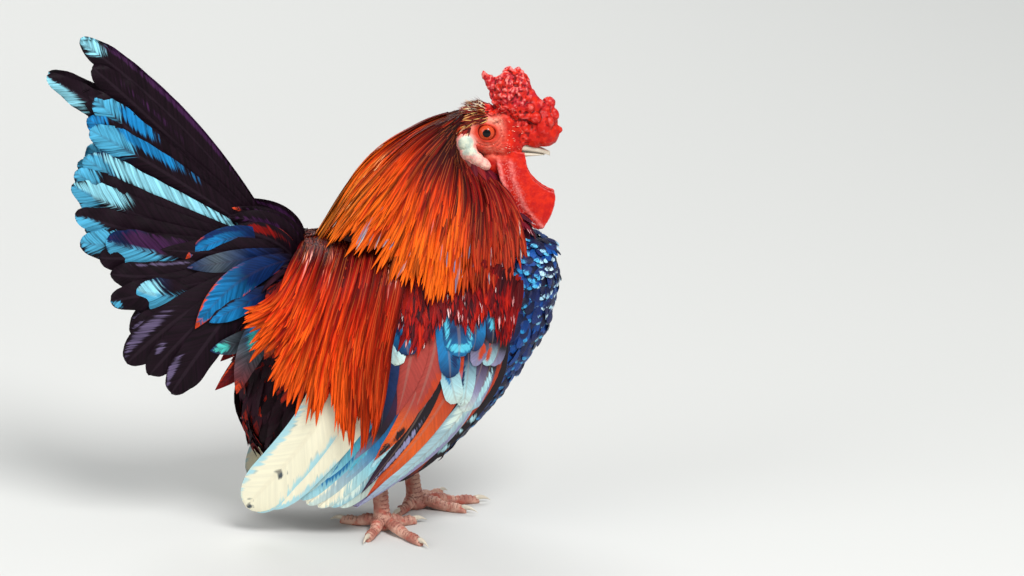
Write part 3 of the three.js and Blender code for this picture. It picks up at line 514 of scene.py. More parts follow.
for side, leg in LEGS.items():
    foot_shape = bmesh.new()
    loft(foot_shape, shank_rings(leg))
    for heading, length in leg["toes"].values():
        loft(foot_shape, toe_rings(leg, math.radians(heading), length))
    # the pad under the foot, pressed flat on the ground
    for vert in add_egg(foot_shape, (*leg["sole"], 4.2), (8.2, 7.6, 5.2)):
        vert.co.z = max(0, vert.co.z)
    foot = object_from(foot_shape, "scaled_foot_" + leg["word"])
    fuse(foot, FOOT_VOXEL, 2)
    place = of_points(foot, "co") / MM
    normal = of_points(foot, "normal")
    rise, joint = plates(place, normal, leg)
    rise += [ROUGH_RISE * noise.noise(Vector(p / ROUGH_SIZE)) for p in place]
    place += normal * rise[:, None]
    place[:, 2] = np.maximum(place[:, 2], 0)
    move_points(foot, place)
    mark_points(foot, "joint", joint)
    foot.data.materials.append(leg_finish)
    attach(foot, "root")
    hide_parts("foot_" + leg["word"])
    for toe, (heading, length) in leg["toes"].items():
        claw_shape = bmesh.new()
        loft(claw_shape, claw_rings(leg, math.radians(heading), length))
        nail = object_from(claw_shape, f"nail_{leg['word']}_{toe}")
        nail.data.materials.append(horn_finish)
        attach(nail, "root")
        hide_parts(f"claw_{leg['word']}_{toe}")


# ---------------------------------------------------------------------------------------------
# The head. Bare red skin over the skull, with a cushion comb of fused bulbs, two wattles hung from
# the jaw, thin pale ear lobes and swollen lids. All of it is one living skin with no seam.

HEAD_ENDS = [93, 140]
# forward, middle up, half height, half width
HEAD = np.array(
    [
        [93, 258, 0, 0],
        [97, 258.5, 9, 8],
        [105, 259.5, 15, 12.4],
        [115, 259, 16.5, 13.6],
        [124, 256.5, 14, 12],
        [131, 253, 10.5, 9.4],
        [137, 250, 6.6, 6.6],
        [140, 249, 0, 0],
    ]
)
EYE = (115.2, 9.6, 259.8)
EYE_RADIUS = 6.2
LID_RING = (7.0, 5.7)
LID_TUBE = 1.05
LID_BALLS = 28
SOCKET_DEPTH = 3.4
# centre, half sizes, number, swell and spread of the bulbs, seed
COMB_MASSES = [
    [(131, 0, 281.5), (12.0, 10.5, 16.5), 30, 0.22, 0.42, 3],
    [(139, 0, 273), (10.5, 10.5, 12.5), 24, 0.20, 0.42, 4],
    [(151, 0, 262), (9.0, 9.5, 13.5), 10, 0.22, 0.75, 5],
    [(137, 0, 259), (9.5, 8.8, 11.0), 12, 0.16, 0.65, 6],
]
# small grains on the rear mass and the crown, few and large ones in front:
# number, half sizes, mass, seed
COMB_GRAINS = [
    (130, (1.0, 2.6), 0, 11),
    (44, (1.2, 2.6), 1, 12),
    (7, (2.4, 4.0), 2, 13),
    (9, (1.8, 3.4), 3, 14),
]
COMB_KNOBS = [
    ((154.5, 3.0, 275.0), 4.4),
    ((148.5, -3.0, 276.0), 3.2),
    ((157.5, -1.0, 268.0), 3.9),
    ((152.2, 0.0, 256.8), 9.2),
    ((145.5, 0.0, 255.6), 8.8),
    ((139.5, 0.0, 255.8), 7.8),
    ((146.0, -7.5, 268.0), 3.8),
    ((146.0, 7.5, 268.0), 3.8),
]
# forward, up, radius
COMB_SPIKE = [(124, 277, 6.0), (122, 284, 5.2), (118.5, 289, 4.4), (115.5, 293.5, 3.2), (112.6, 297.5, 0.7)]
SPIKE_POINTS = 16
SPIKE_FLAT = 0.8
LOBES = [
    [(102.0, 12.4, 252.6), (4.7, 2.3, 5.0), 0.10],
    [(104.4, 12.8, 246.0), (4.6, 2.4, 4.4), 0.45],
    [(108.8, 13.0, 242.2), (4.8, 2.5, 3.6), 0.62],
    [(113.2, 12.6, 239.4), (4.4, 2.4, 3.0), 0.62],
]
# red skin of the throat, the jaw and the forehead: centre, half sizes, pitch
FILLINGS = [
    [(120, 0, 239), (9.5, 8.5, 11), 0.3],
    [(129, 0, 243), (9.0, 7.0, 8), 0.0],
    [(127, 0, 264), (10, 9.0, 10), 0.4],
]
# rows from the jaw to the lower edge, each of points from rear to front: forward, out, up
WATTLE = [
    [[121, 6.5, 243], [130, 6.5, 246], [139, 5.5, 245]],
    [[124, 8.5, 228], [133, 9.0, 230], [142, 6.5, 231]],
    [[131, 9.0, 212], [142, 8.8, 213], [150.5, 5.5, 222]],
    [[142, 8.5, 200], [150.5, 7.8, 196.5], [162.5, 4.5, 217]],
]
WATTLE_THICK = 2.3
WATTLE_ROUND = 0.12
HEAD_VOXEL = 0.62
SIDES = ((-1, "right"), (1, "left"))


def spline(points, share):
    """A smooth line through points of shape (n, m, 3), at m shares of its way."""
    count = len(points)
    ends = [2 * points[:1] - points[1:2], points, 2 * points[-1:] - points[-2:-1]]
    padded = np.concatenate(ends)
    place = share * (count - 1)
    i = np.clip(place.astype(int), 0, count - 2)
    t = (place - i)[:, None]
    pick = np.arange(len(share))
    a, b, c, d = (padded[i + k, pick] for k in range(4))
    bend = (2 * a - 5 * b + 4 * c - d) * t**2 + (3 * b - a - 3 * c + d) * t**3
    return 0.5 * (2 * b + (c - a) * t + bend)


def sheet_point(rows, across, along, side):
    """Points on a sheet given by rows of [forward, out, up], by the shares across and along it."""
    shape = np.broadcast_shapes(np.shape(across), np.shape(along))
    across = np.broadcast_to(across, shape).ravel()
    along = np.broadcast_to(along, shape).ravel()
    lines = np.stack(
        [
            spline(np.broadcast_to(np.array(row, float)[:, None], (len(row), len(across), 3)), across)
            for row in rows
        ]
    )
    place = spline(lines, along)
    place[:, 0] += FORWARD
    place[:, 1] *= side
    return place.reshape(*shape, 3)


def seeded(seed):
    """A repeatable run of numbers from -1 to 1."""
    state = seed * 7919 + 17
    while True:
        state = state * 16807 % 2147483647
        yield state / 2147483647 * 2 - 1


def comb_mass(shape, centre, radii, bulbs, swell, spread, seed):
    """A cushion of the comb: an egg that swells into bulbs, parted by creases."""
    vary = seeded(seed)
    ways = [Vector((next(vary), 0.9 * next(vary), 0.8 * next(vary) + 0.2)) for _ in range(bulbs)]
    ways = np.array([way.normalized() for way in ways])
    verts, ball = add_ball(shape, 64, 44)
    near = 1 - np.linalg.norm(ball[:, None] - ways[None], axis=2) / spread
    size = 1 - swell * 0.5 + swell * np.sqrt(np.clip(near.max(axis=1), 0, None))
    put(verts, np.array(centre) + [FORWARD, 0, 0] + ball * size[:, None] * np.array(radii))


head_shape = bmesh.new()
head_verts, ball = add_ball(head_shape, 48, 40)
head_forward = HEAD_ENDS[0] + (HEAD_ENDS[1] - HEAD_ENDS[0]) * (1 - ball[:, 2]) / 2
middle, half_height, half_width = station(HEAD, head_forward).T
around = np.arctan2(ball[:, 1], ball[:, 0])
head_out = np.sin(around) * half_width
head_up = middle + np.cos(around) * half_height
put(head_verts, np.stack([head_forward + FORWARD, head_out, head_up], axis=-1))
for mass in COMB_MASSES:
    comb_mass(head_shape, *mass)
for centre, size in COMB_KNOBS:
    add_egg(head_shape, centre, (size,) * 3)
for centre, radii, pitch in FILLINGS:
    add_egg(head_shape, centre, radii, pitch)
spike_round = [(ahead, SPIKE_FLAT * out) for ahead, out in circle(SPIKE_POINTS)]
loft(
    head_shape,
    [[(x + FORWARD + r * ahead, r * out, z) for ahead, out in spike_round] for x, z, r in COMB_SPIKE],
)
for side, _ in SIDES:
    for centre, radii, pitch in LOBES:
        add_egg(head_shape, (centre[0], side * centre[1], centre[2]), radii, pitch)
        border = (radii[0] * 1.35, radii[1] * 0.8, radii[2] * 1.35)
        add_egg(head_shape, (centre[0] - 0.6, side * (centre[1] - 0.6), centre[2]), border, pitch)
    # the lids: a ring of small balls melted into one rim
    for ahead, up in circle(LID_BALLS):
        rim = (
            EYE[0] + LID_RING[0] * ahead,
            side * (EYE[1] + 3.5 - 1.5 * ahead**2),
            EYE[2] + LID_RING[1] * up - 0.9 * ahead,
        )
        size = LID_TUBE * (1.15 if up > 0 else 1.0)
        add_egg(head_shape, rim, (size, size, size), around=10, tall=7)
    # the brow and the cheek
    add_egg(head_shape, (116.5, side * 10.2, 267.8), (8.5, 3.0, 2.4), -0.05)
    add_egg(head_shape, (124.5, side * 8.2, 250.5), (8.5, 3.6, 5.5), 0.3)
    leaf = bmesh.ops.create_grid(head_shape, x_segments=22, y_segments=30, size=1)["verts"]
    flat = np.array([vert.co for vert in leaf])
    across, along = (flat[:, :2].T + 1) / 2
    along = along * (1 - WATTLE_ROUND * np.abs(flat[:, 0]) ** 4 * along**4)
    leaf_place = sheet_point(WATTLE, across, along, side)
    leaf_place[:, 1] += side * 0.8 * along**2 * np.sin(7 * across + 4 * along)
    put(leaf, leaf_place)
    leaf_faces = list({face for vert in leaf for face in vert.link_faces})
    bmesh.ops.recalc_face_normals(head_shape, faces=leaf_faces)
    bmesh.ops.solidify(head_shape, geom=leaf_faces, thickness=WATTLE_THICK * MM)
for number, sizes, mass, seed in COMB_GRAINS:
    vary = np.random.default_rng(seed)
    centre, radii = (np.array(part) for part in COMB_MASSES[mass][:2])
    ways = vary.normal(0, 1, (number, 3))
    ways /= np.linalg.norm(ways, axis=1, keepdims=True)
    ways[:, 2] = np.abs(ways[:, 2] + 0.35) - 0.35
    grain_sizes = vary.uniform(*sizes, (number, 1)) * vary.uniform(0.65, 1.3, (number, 3))
    add_many_eggs(head_shape, centre + ways * radii * 0.95, grain_sizes)
head = object_from(head_shape, "head_skin")
fuse(head, HEAD_VOXEL, 3)


def hump(value, middle, width):
    """1 where a value is at the middle, falling off to 0 on both sides of it."""
    return np.exp(-(((value - middle) / width) ** 2))


# Fine relief: bulbs on the comb, pebbled wattles with a raised rim, rings of wrinkles round the eye.
place = of_points(head, "co") / MM
normal = of_points(head, "normal")
local = place - [FORWARD, 0, 0]
x, y, z = local.T
comb_line = 262 + 0.55 * np.clip(126 - x, -30, 30)
is_comb = held((z - np.maximum(comb_line, 268 - 0.9 * np.clip(x - 128, 0, 12))) / 3)
is_comb = np.maximum(is_comb, held((x - 133 - 0.25 * np.abs(z - 258)) / 3) * (z > 247))
is_wattle = held((243 - z) / 4) * (x > 116)
# how far forward of the wattle's rear edge, for the rim, the fold behind it and the pebbled band
from_rim = x - np.interp(z, [197, 210, 228, 243], [142.5, 131, 124, 121])
rim_line = hump(from_rim, 1.2, 1.3) + 0.6 * hump(from_rim, 8.5, 1.6)
rim_line = rim_line * is_wattle * (np.abs(y) > 5.5)
band = hump(from_rim, 6.0, 5.0) * is_wattle
is_lobe, lobe_edge = np.zeros((2, len(local)))
for centre, radii, pitch in LOBES:
    away_x, away_y, away_z = x - centre[0], np.abs(y) - centre[1], z - centre[2]
    along = away_x * math.cos(pitch) - away_z * math.sin(pitch)
    upward = away_x * math.sin(pitch) + away_z * math.cos(pitch)
    inside = (along / radii[0]) ** 2 + (away_y / radii[1]) ** 2 + (upward / radii[2]) ** 2
    is_lobe = np.maximum(is_lobe, held((1.35 - inside) / 0.3))
    lobe_edge = np.maximum(lobe_edge, held((2.4 - inside) / 0.5) * (away_y > -3))
lobe_top = held((z - 244.5) / 3.5 - held((99.0 - x) / 3)) * is_lobe
# 1 on the line of the lids, less inside them
in_ring = np.hypot((x - EYE[0]) / LID_RING[0], (z - EYE[2] + 0.13 * (x - EYE[0])) / LID_RING[1])
socket = held((0.86 - in_ring) / 0.14) * (np.abs(y) > 6)
lids = hump(in_ring, 0.95, 0.22)
pale = hump(in_ring, 1.6, 0.5) * held(0.55 + (z - EYE[2]) / 12)
lump, grain = np.empty((2, len(local)))
for i, p in enumerate(local):
    lump[i] = noise.noise(Vector(p / 3.1))
    grain[i] = noise.noise(Vector(p / 1.25 + 7))
from_eye = np.hypot(x - EYE[0], z - EYE[2])
wrinkle = np.sin(from_eye * 2.6 + 0.8 * lump) * hump(from_eye, 8.5, 3.2)
is_front = held((x - 138) / 6) * is_comb
on_face = (1 - is_comb) * (1 - is_wattle) * (1 - is_lobe)
rise = is_comb * (0.8 * np.abs(lump) ** 0.6 * np.sign(lump) + 0.5 * grain) * (1 - 0.65 * is_front)
rise += is_wattle * 0.15 * lump + (0.08 * is_wattle + 0.25 * band) * grain + 0.55 * rim_line
rise += is_lobe * 0.35 * lump
rise += on_face * (0.22 * wrinkle + 0.22 * grain + 0.22 * lump) * (1 - 0.7 * lids)
rise -= SOCKET_DEPTH * socket
place = place + normal * rise[:, None]
move_points(head, place)

# How far each point stands out of its neighbours, for a painted highlight on the knobs and painted shade down
# in the creases.
normal = of_points(head, "normal")
pairs = np.empty(len(head.data.edges) * 2, dtype=int)
head.data.edges.foreach_get("vertices", pairs)
first, second = pairs.reshape(-1, 2).T
degree = np.bincount(pairs, minlength=len(place))
step = place[second] - place[first]
knob = np.zeros(len(place))
np.add.at(knob, first, -(step * normal[first]).sum(axis=1))
np.add.at(knob, second, (step * normal[second]).sum(axis=1))
knob /= degree
for _ in range(2):
    near = np.zeros(len(place))
    np.add.at(near, first, knob[second])
    np.add.at(near, second, knob[first])
    knob = 0.4 * knob + 0.6 * near / degree
head_masks = {
    "comb": is_comb,
    "band": band,
    "rim": rim_line,
    "lobe": is_lobe,
    "lobe_top": lobe_top,
    "lobe_edge": lobe_edge,
    "lids": lids,
    "pale": pale,
    "flesh": np.maximum(np.maximum(is_comb, is_wattle), held((x - 121) / 8)),
    "knob": held(0.5 + 6 * knob),
}
for name, values in head_masks.items():
    mark_points(head, name, values)

RED_SKIN = {
    "deep": (0.46, 0.006, 0.004),
    "bright": (0.64, 0.018, 0.004),
    "crimson": (0.42, 0.012, 0.030),
    "pink": (0.86, 0.26, 0.23),
    # painted shade for the creases between the knobs
    "crease_shade": (0.11, 0.002, 0.004),
}
FACE_SKIN = {
    "red": (0.74, 0.085, 0.050),
    "pale": (0.90, 0.38, 0.27),
    "speck": (0.42, 0.012, 0.008),
    "lids": (0.58, 0.035, 0.014),
}
LOBE_SKIN = {
    "pink": (0.84, 0.33, 0.28),
    "cream": (0.82, 0.68, 0.52),
    "white": (0.64, 0.69, 0.55),
    "shade": (0.33, 0.42, 0.38),
}

red_finish = finish(
    "red_skin", RED_SKIN["deep"], 0.45, subsurface_weight=0.04, subsurface_scale=0.002, specular_ior_level=0.2
)
red = Dye(red_finish.node_tree)
red_place = red.place()
blotch = red.noise(red_place, 240.0, 4.0)
fine_blotch = red.noise(red_place, 620.0, 3.0)
pebble = red.node("TexVoronoi", {"feature": "SMOOTH_F1"}, Vector=red_place, Scale=900.0).outputs["Distance"]
masks = {name: red.read(name) for name in head_masks}
height = red.node("SeparateXYZ", Vector=red_place).outputs["Z"]
# the comb and the wattles: red, crimson at the top, with a painted pink highlight on what stands out
crimson = red.times(red.span(height, 0.268, 0.284), masks["comb"])
flesh = red.mix(red.times(crimson, 0.7), RED_SKIN["deep"], RED_SKIN["crimson"])
flesh = red.mix(red.span(blotch, 0.35, 0.68), flesh, RED_SKIN["bright"])
# painted highlight: pink on the knobs that stand out, most at the top of the comb
raised = red.times(red.span(masks["knob"], 0.62, 0.95), red.span(fine_blotch, 0.30, 0.62, 0.15, 1.0))
flesh = red.mix(red.times(raised, red.times(crimson, 0.5, 0.30)), flesh, RED_SKIN["pink"])
pebbled = red.times(red.span(pebble, 0.45, 0.15), masks["band"])
flesh = red.mix(red.times(pebbled, 0.5), flesh, RED_SKIN["pink"])
# the face: pale round the eye, with dark specks
pallor = red.times(red.span(blotch, 0.42, 0.70), 0.45, masks["pale"])
bare = red.mix(red.times(pallor, 0.8), FACE_SKIN["red"], FACE_SKIN["pale"])
bare = red.mix(red.span(fine_blotch, 0.60, 0.75, 0.0, 0.5), bare, FACE_SKIN["speck"])
bare = red.mix(masks["lids"], bare, FACE_SKIN["lids"])
red_colour = red.mix(masks["flesh"], bare, flesh)
on_rim = red.times(masks["rim"], red.span(fine_blotch, 0.3, 0.6, 0.3, 0.9))
red_colour = red.mix(on_rim, red_colour, RED_SKIN["pink"])
# painted shade: near black down in the creases, strongest on the comb, weaker on the face and wattles
sunken_shade = red.times(red.span(masks["knob"], 0.47, 0.15), red.times(masks["comb"], 0.55, 0.3))
red_colour = red.mix(sunken_shade, red_colour, RED_SKIN["crease_shade"])
red_colour = red.mix(masks["lobe_edge"], red_colour, LOBE_SKIN["pink"])
# the lobes: cream below, white with a green shade above
creamy = red.mix(red.span(fine_blotch, 0.38, 0.56), LOBE_SKIN["pink"], LOBE_SKIN["cream"])
lobe_colour = red.mix(masks["lobe_top"], creamy, LOBE_SKIN["white"])
lobe_colour = red.mix(red.span(blotch, 0.45, 0.65, 0.0, 0.6), lobe_colour, LOBE_SKIN["shade"])
on_lobe = red.times(masks["lobe"], red.span(masks["lobe_top"], 0.0, 0.4, 0.5, 1.0))
red_colour = red.mix(on_lobe, red_colour, lobe_colour)
red.lay(red_colour, red.times(blotch, 0.8, pebble), 0.5, 0.0004)
head.data.materials.append(red_finish)
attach(head, "root")
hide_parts("head", "comb", "wattle_right", "wattle_left", "earlobe_right", "earlobe_left")


# ---------------------------------------------------------------------------------------------
# Eyes: a wet ball behind the lids, with an orange iris of fine spokes round a black pupil, and the
# clear cornea standing a little out of it.

IRIS_RADIUS = 5.2
PUPIL_RADIUS = 2.6
CORNEA_RISE = 0.55
IRIS_TONES = {
    "dark": (0.48, 0.030, 0.010),
    "light": (0.68, 0.09, 0.024),
    "rim": (0.16, 0.006, 0.004),
    "pupil": (0.002, 0.002, 0.003),
}

for side, label in SIDES:
    eye_shape = bmesh.new()
    ball_verts, _ = add_ball(eye_shape, 56, 44)
    centre = Vector((EYE[0] + FORWARD, side * EYE[1], EYE[2]))
    for vert in ball_verts:
        # the poles point to both sides of the head
        way = Vector((vert.co.x, vert.co.z, vert.co.y))
        outward = max(0.0, way.y * side)
        swell = EYE_RADIUS + CORNEA_RISE * max(0.0, (outward - 0.62) / 0.38) ** 1.2
        vert.co = (centre + way * swell) * MM
    eye = object_from(eye_shape, "eyeball_" + label)
    gloss = {"coat_weight": 0.35, "coat_roughness": 0.02, "specular_ior_level": 0.05}
    eye_finish = finish("eye_" + label, IRIS_TONES["dark"], 0.3, **gloss)
    iris = Dye(eye_finish.node_tree)
    centred = iris.node("Mapping", Vector=iris.place(), Location=[-x * MM for x in centre])
    centred = iris.node("SeparateXYZ", Vector=centred.outputs[0]).outputs
    ahead = iris.times(centred["X"], 1 / MM)
    up = iris.times(centred["Z"], 1 / MM)
    reach = iris.math("SQRT", iris.times(ahead, ahead, iris.times(up, up)))
    turn = iris.math("ARCTAN2", up, ahead)
    spokes = iris.node("CombineXYZ", X=iris.times(turn, 9.0), Y=reach).outputs[0]
    spokes = iris.span(iris.noise(spokes, 1.6, 3.0), 0.38, 0.62)
    iris_colour = iris.mix(spokes, IRIS_TONES["dark"], IRIS_TONES["light"])
    edge = iris.span(reach, IRIS_RADIUS - 0.7, IRIS_RADIUS)
    iris_colour = iris.mix(edge, iris_colour, IRIS_TONES["rim"])
    pupil = iris.span(reach, PUPIL_RADIUS + 0.12, PUPIL_RADIUS - 0.12)
    iris.lay(iris.mix(pupil, iris_colour, IRIS_TONES["pupil"]))
    eye.data.materials.append(eye_finish)
    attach(eye, "root")
    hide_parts("eye_" + label)


# ---------------------------------------------------------------------------------------------
# The bill: two halves of pale horn grown over the jaw bones, the upper hooked over the lower, with
# a slit of a nostril low on each side.

BILL_ROOT = 130
BILL_TIP = 155.4
BILL_TOP = 251.6
BILL_HALF_WIDTH = 5.3
HOOK_UP = 241.4
MOUTH_UP = 245.8
MOUTH_GAP = 0.6
BILL_OVERHANG = 3.5
BILL_RINGS = 26
BILL_POINTS = 24
NOSTRIL = (141.0, 248.3)


def bill_rings(upper):
    """Rings of the upper or lower half of the bill, from inside the face to the tip."""
    length = BILL_TIP - BILL_ROOT - (0 if upper else BILL_OVERHANG)
    rings = []
    for r in range(BILL_RINGS + 1):
        s = r / BILL_RINGS
        forward = BILL_ROOT + length * s
        thin = math.sqrt(max(0.004, 1 - 0.985 * s**1.7))
        top = BILL_TOP + (MOUTH_UP + 0.8 - BILL_TOP) * s + 2.4 * s * (1 - s)
        hook = (HOOK_UP - MOUTH_UP) * s**4 if upper else -1.2 * s * s
        mouth = MOUTH_UP - 1.6 * s + hook * 0.6
        high = max(top - 2.2 * s**3, mouth + 1.1 * thin) if upper else mouth - MOUTH_GAP
        low = mouth if upper else mouth - MOUTH_GAP - (5 - 4.1 * s)
        half = BILL_HALF_WIDTH * thin * (1 if upper else 0.86)
        ring = []
        for rise, beside in circle(BILL_POINTS):
            out = beside * half
            # the ridge is narrow above, and the cutting edge is sharp below
            ridge = abs(rise) ** (0.8 if upper == (rise > 0) else 0.45)
            up = (high + low) / 2 + math.copysign(ridge, rise) * (high - low) / 2
            dent = math.exp(-(((forward - NOSTRIL[0]) / 1.7) ** 2) - ((up - NOSTRIL[1]) / 0.55) ** 2)
            ring.append((forward + FORWARD, out * (1 - (0.16 * dent if upper else 0)), up))
        rings.append(ring)
    return rings


for word, upper in (("upper", True), ("lower", False)):
    bill_shape = bmesh.new()
    loft(bill_shape, bill_rings(upper))
    bill = object_from(bill_shape, word + "_bill")
    bill.data.materials.append(horn_finish)
    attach(bill, "root")
    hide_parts("beak_" + word)


# ---------------------------------------------------------------------------------------------
# Breast and flanks: short rounded feathers that lie back and down like tiles. They are blue-black,
# and most of those on the breast end in a white or pale blue spangle.

VANE_RINGS = 6
VANE_CROWD = 1.5
BREAST_PITCH = 4.0
FLANK_PITCH = 4.8
# how much of a glow stays at a vane's left edge, middle and right edge
FADE_OUT = np.array([0.4, 1.0, 0.4])
BREAST_LENGTH = [10.0, 16.0]
BREAST_WIDTH = 7.2
BREAST_LIFT = 0.45
ROOT_DEPTH = 1.0
BAKE_PATCH = 0.003
# width at the root, place of the widest, start of the tip, and how pointed it is
ROUNDED = (0.35, 0.45, 0.62, 0.5)


def tone(red, green, blue):
    """A display colour, 0 to 255, as linear light."""
    value = np.array([red, green, blue], float) / 255
    return np.where(value < 0.04045, value / 12.92, ((value + 0.055) / 1.055) ** 2.4)


def unit(vectors):
    """Vectors of any array, made one long."""
    return vectors / np.maximum(np.linalg.norm(vectors, axis=-1, keepdims=True), 1e-9)


def vane_template(rings, columns):
    """One flat vane as a grid: its mesh, and the ring and the column of each of its points."""
    shape = bmesh.new()
    bmesh.ops.create_grid(shape, x_segments=columns, y_segments=rings, size=1)
    place = np.array([vert.co for vert in shape.verts])
    mesh = bpy.data.meshes.new("vane")
    shape.to_mesh(mesh)
    shape.free()
    ring = np.rint((place[:, 1] + 1) / 2 * rings).astype(int)
    column = np.rint((place[:, 0] + 1) / 2 * columns).astype(int)
    return mesh, ring, column


def grow_vanes(
    name, line, out, half, paint, bake, seed, camber=0.16, roll=0.0, lay=1.0, split=0.0, ruffle=0.0, hand=1
):
    """Feathers as one mesh of curved vanes.

    line, out: centre line and the way out, (count, rings + 1, 3). half: half widths, (count, rings + 1).
    paint: colour, (count, rings + 1, columns + 1, 3), and glow, the same with a fourth value, its share.
    bake: each root's place on an unwrap of the skin, (count, 2). roll: turn about the shaft, (count,).
    lay: 1 where the barbs run out to the edges, near 0 where they run along the shaft.
    split: how ragged the edges are. ruffle: how far they wave, in millimetres, at the tip.
    hand: -1 where the shape is the other side's mirror image.
    """
    colour, glow = paint
    count, rings = line.shape[0], line.shape[1] - 1
    columns = glow.shape[2] - 1
    mesh, ring, column = vane_template(rings, columns)
    piece = bpy.data.objects.new(name, mesh)
    bpy.context.scene.collection.objects.link(piece)
    repeat(piece, count)
    mesh = piece.data
    vary = np.random.default_rng(seed)
    forward = unit(np.gradient(line, axis=1))
    above = unit(out - forward * (out * forward).sum(axis=-1, keepdims=True))
    beside = hand * np.cross(forward, above)
    roll = np.broadcast_to(roll, (count,))[:, None, None]
    beside, above = (
        beside * np.cos(roll) + above * np.sin(roll),
        above * np.cos(roll) - beside * np.sin(roll),
    )
    w = np.linspace(-1, 1, columns + 1)
    half = half[:, :, None]
    place = line[:, :, None] + beside[:, :, None] * (half * w)[..., None]
    place = place + above[:, :, None] * (camber * half * (1 - w * w))[..., None]
    if split:
        notch = vary.normal(0, split, (count, rings + 1, columns + 1)) * np.abs(w) * half
        notch[:, 0] = 0
        place = place + forward[:, :, None] * notch[..., None]
    step = np.linalg.norm(np.diff(line, axis=1), axis=2)
    gone = np.concatenate([np.zeros((count, 1)), np.cumsum(step, axis=1)], axis=1)
    along = (gone / gone[:, -1:])[:, :, None]
    gone = gone[:, :, None]
    if lay > 0.3:
        barb = gone * lay - np.abs(w) * half * 1.3
    else:
        barb = gone * lay + w * half * 1.6
    if ruffle:
        wave = np.sin(gone * 0.33 + w * 1.2 + vary.uniform(0, 6, (count, 1, 1)))
        place = place + above[:, :, None] * (ruffle * wave * np.abs(w) * along**2)[..., None]
    shape = (count, rings + 1, columns + 1)
    along = np.broadcast_to(along, shape)
    across = np.broadcast_to(w, shape)
    number = np.broadcast_to(vary.random(count)[:, None, None], shape)

    def laid(values):
        """Values by feather, ring and column, in the order of the mesh's points."""
        return np.ascontiguousarray(values[:, ring, column])

    move_points(piece, laid(place))
    for key, values in {"across": across, "barb": barb, "number": number}.items():
        mark_points(piece, key, laid(values))
    solid = np.concatenate([laid(colour), np.ones((count, len(ring), 1))], axis=-1)
    for key, values in {"plume": solid, "glow": laid(glow)}.items():
        mesh.attributes.new(key, "FLOAT_COLOR", "POINT").data.foreach_set("color", values.ravel())
    corner = np.empty(len(mesh.loops), int)
    mesh.loops.foreach_get("vertex_index", corner)
    patch = np.stack([across * 0.5 + 0.5, along], axis=-1) * BAKE_PATCH + bake[:, None, None]
    while mesh.uv_layers:
        mesh.uv_layers.remove(mesh.uv_layers[0])
    patch = laid(patch).reshape(-1, 2)[corner]
    mesh.uv_layers.new(name="OFBake").uv.foreach_set("vector", patch.ravel())
    if hand < 0:
        mesh.flip_normals()
    mesh.update()
    mesh.shade_smooth()
    return piece


def places_along(rings, crowd=1.0):
    """Shares of a feather's length for its rings, closer together at the tip where crowd is over 1."""
    return 1 - (1 - np.linspace(0, 1, rings + 1)) ** crowd


def taper(shape, s):
    """A feather's width at shares of its length, as shares of its greatest.

    shape: width at the root, where it is widest, where the tip starts, and how pointed the tip is.
    """
    root, wide, tip, point = shape
    body = root + (1 - root) * np.sin(np.minimum(s / wide, 1) * math.pi / 2)
    end = held((s - tip) / (1 - tip))
    return body * np.maximum(1 - end**2, 0.0002) ** point


def blend(stops, share):
    """Colours between given ones: stops is a list of (share, colour)."""
    marks = [mark for mark, _ in stops]
    colours = np.array([colour for _, colour in stops])
    return np.stack([np.interp(share, marks, colours[:, k]) for k in range(3)], axis=-1)


def build_vane_group():
    """Shader group for a feather's vane: streaks and fine ribs along its barbs, and a shaft."""
    group = bpy.data.node_groups.new("vane", "ShaderNodeTree")
    for label, value in (("Streak", 0.5), ("Pitch", 1.0), ("Shaft", 0.0), ("Rough", 0.45)):
        group.interface.new_socket(label, in_out="INPUT", socket_type="NodeSocketFloat").default_value = value
    group.interface.new_socket("Shaft Colour", in_out="INPUT", socket_type="NodeSocketColor")
    for label, kind in (("Color", "Color"), ("Roughness", "Float"), ("Height", "Float")):
        group.interface.new_socket(label, in_out="OUTPUT", socket_type="NodeSocket" + kind)
    given = group.nodes.new("NodeGroupInput").outputs
    vane = Dye(group)
    barb = vane.read("barb")
    across = vane.read("across")
    where = vane.node(
        "CombineXYZ",
        X=vane.times(barb, given["Pitch"]),
        Y=vane.times(vane.read("number"), 91.0),
        Z=vane.times(across, 0.6),
    )
    broad = vane.noise(where.outputs[0], 0.5, 5.0, 0.68)
    ribs = vane.math("SINE", vane.times(barb, 15.0))
    streak = vane.span(broad, 0.33, 0.67, -1.0, 1.0)
    gain = vane.times(ribs, 0.04, vane.times(vane.times(streak, given["Streak"]), 0.5, 1.0))
    glow = vane.read("glow", "Alpha")
    share = vane.times(vane.span(vane.times(streak, 0.32, glow), 0.25, 0.75), vane.span(glow, 0.0, 0.12))
    colour = vane.mix(share, vane.read("plume", "Color"), vane.read("glow", "Color"))
    level = vane.node("CombineXYZ", X=gain, Y=gain, Z=gain).outputs[0]
    colour = vane.mix(1.0, colour, level, "MULTIPLY")
    shaft = vane.times(vane.span(vane.math("ABSOLUTE", across), 0.14, 0.05), given["Shaft"])
    result = group.nodes.new("NodeGroupOutput").inputs
    vane.feed(result["Color"], vane.mix(shaft, colour, given["Shaft Colour"]))
    vane.feed(result["Roughness"], vane.times(streak, 0.08, given["Rough"]))
    vane.feed(result["Height"], vane.times(ribs, 0.2, vane.times(broad, 0.5)))
    return group


VANE_GROUP = build_vane_group()


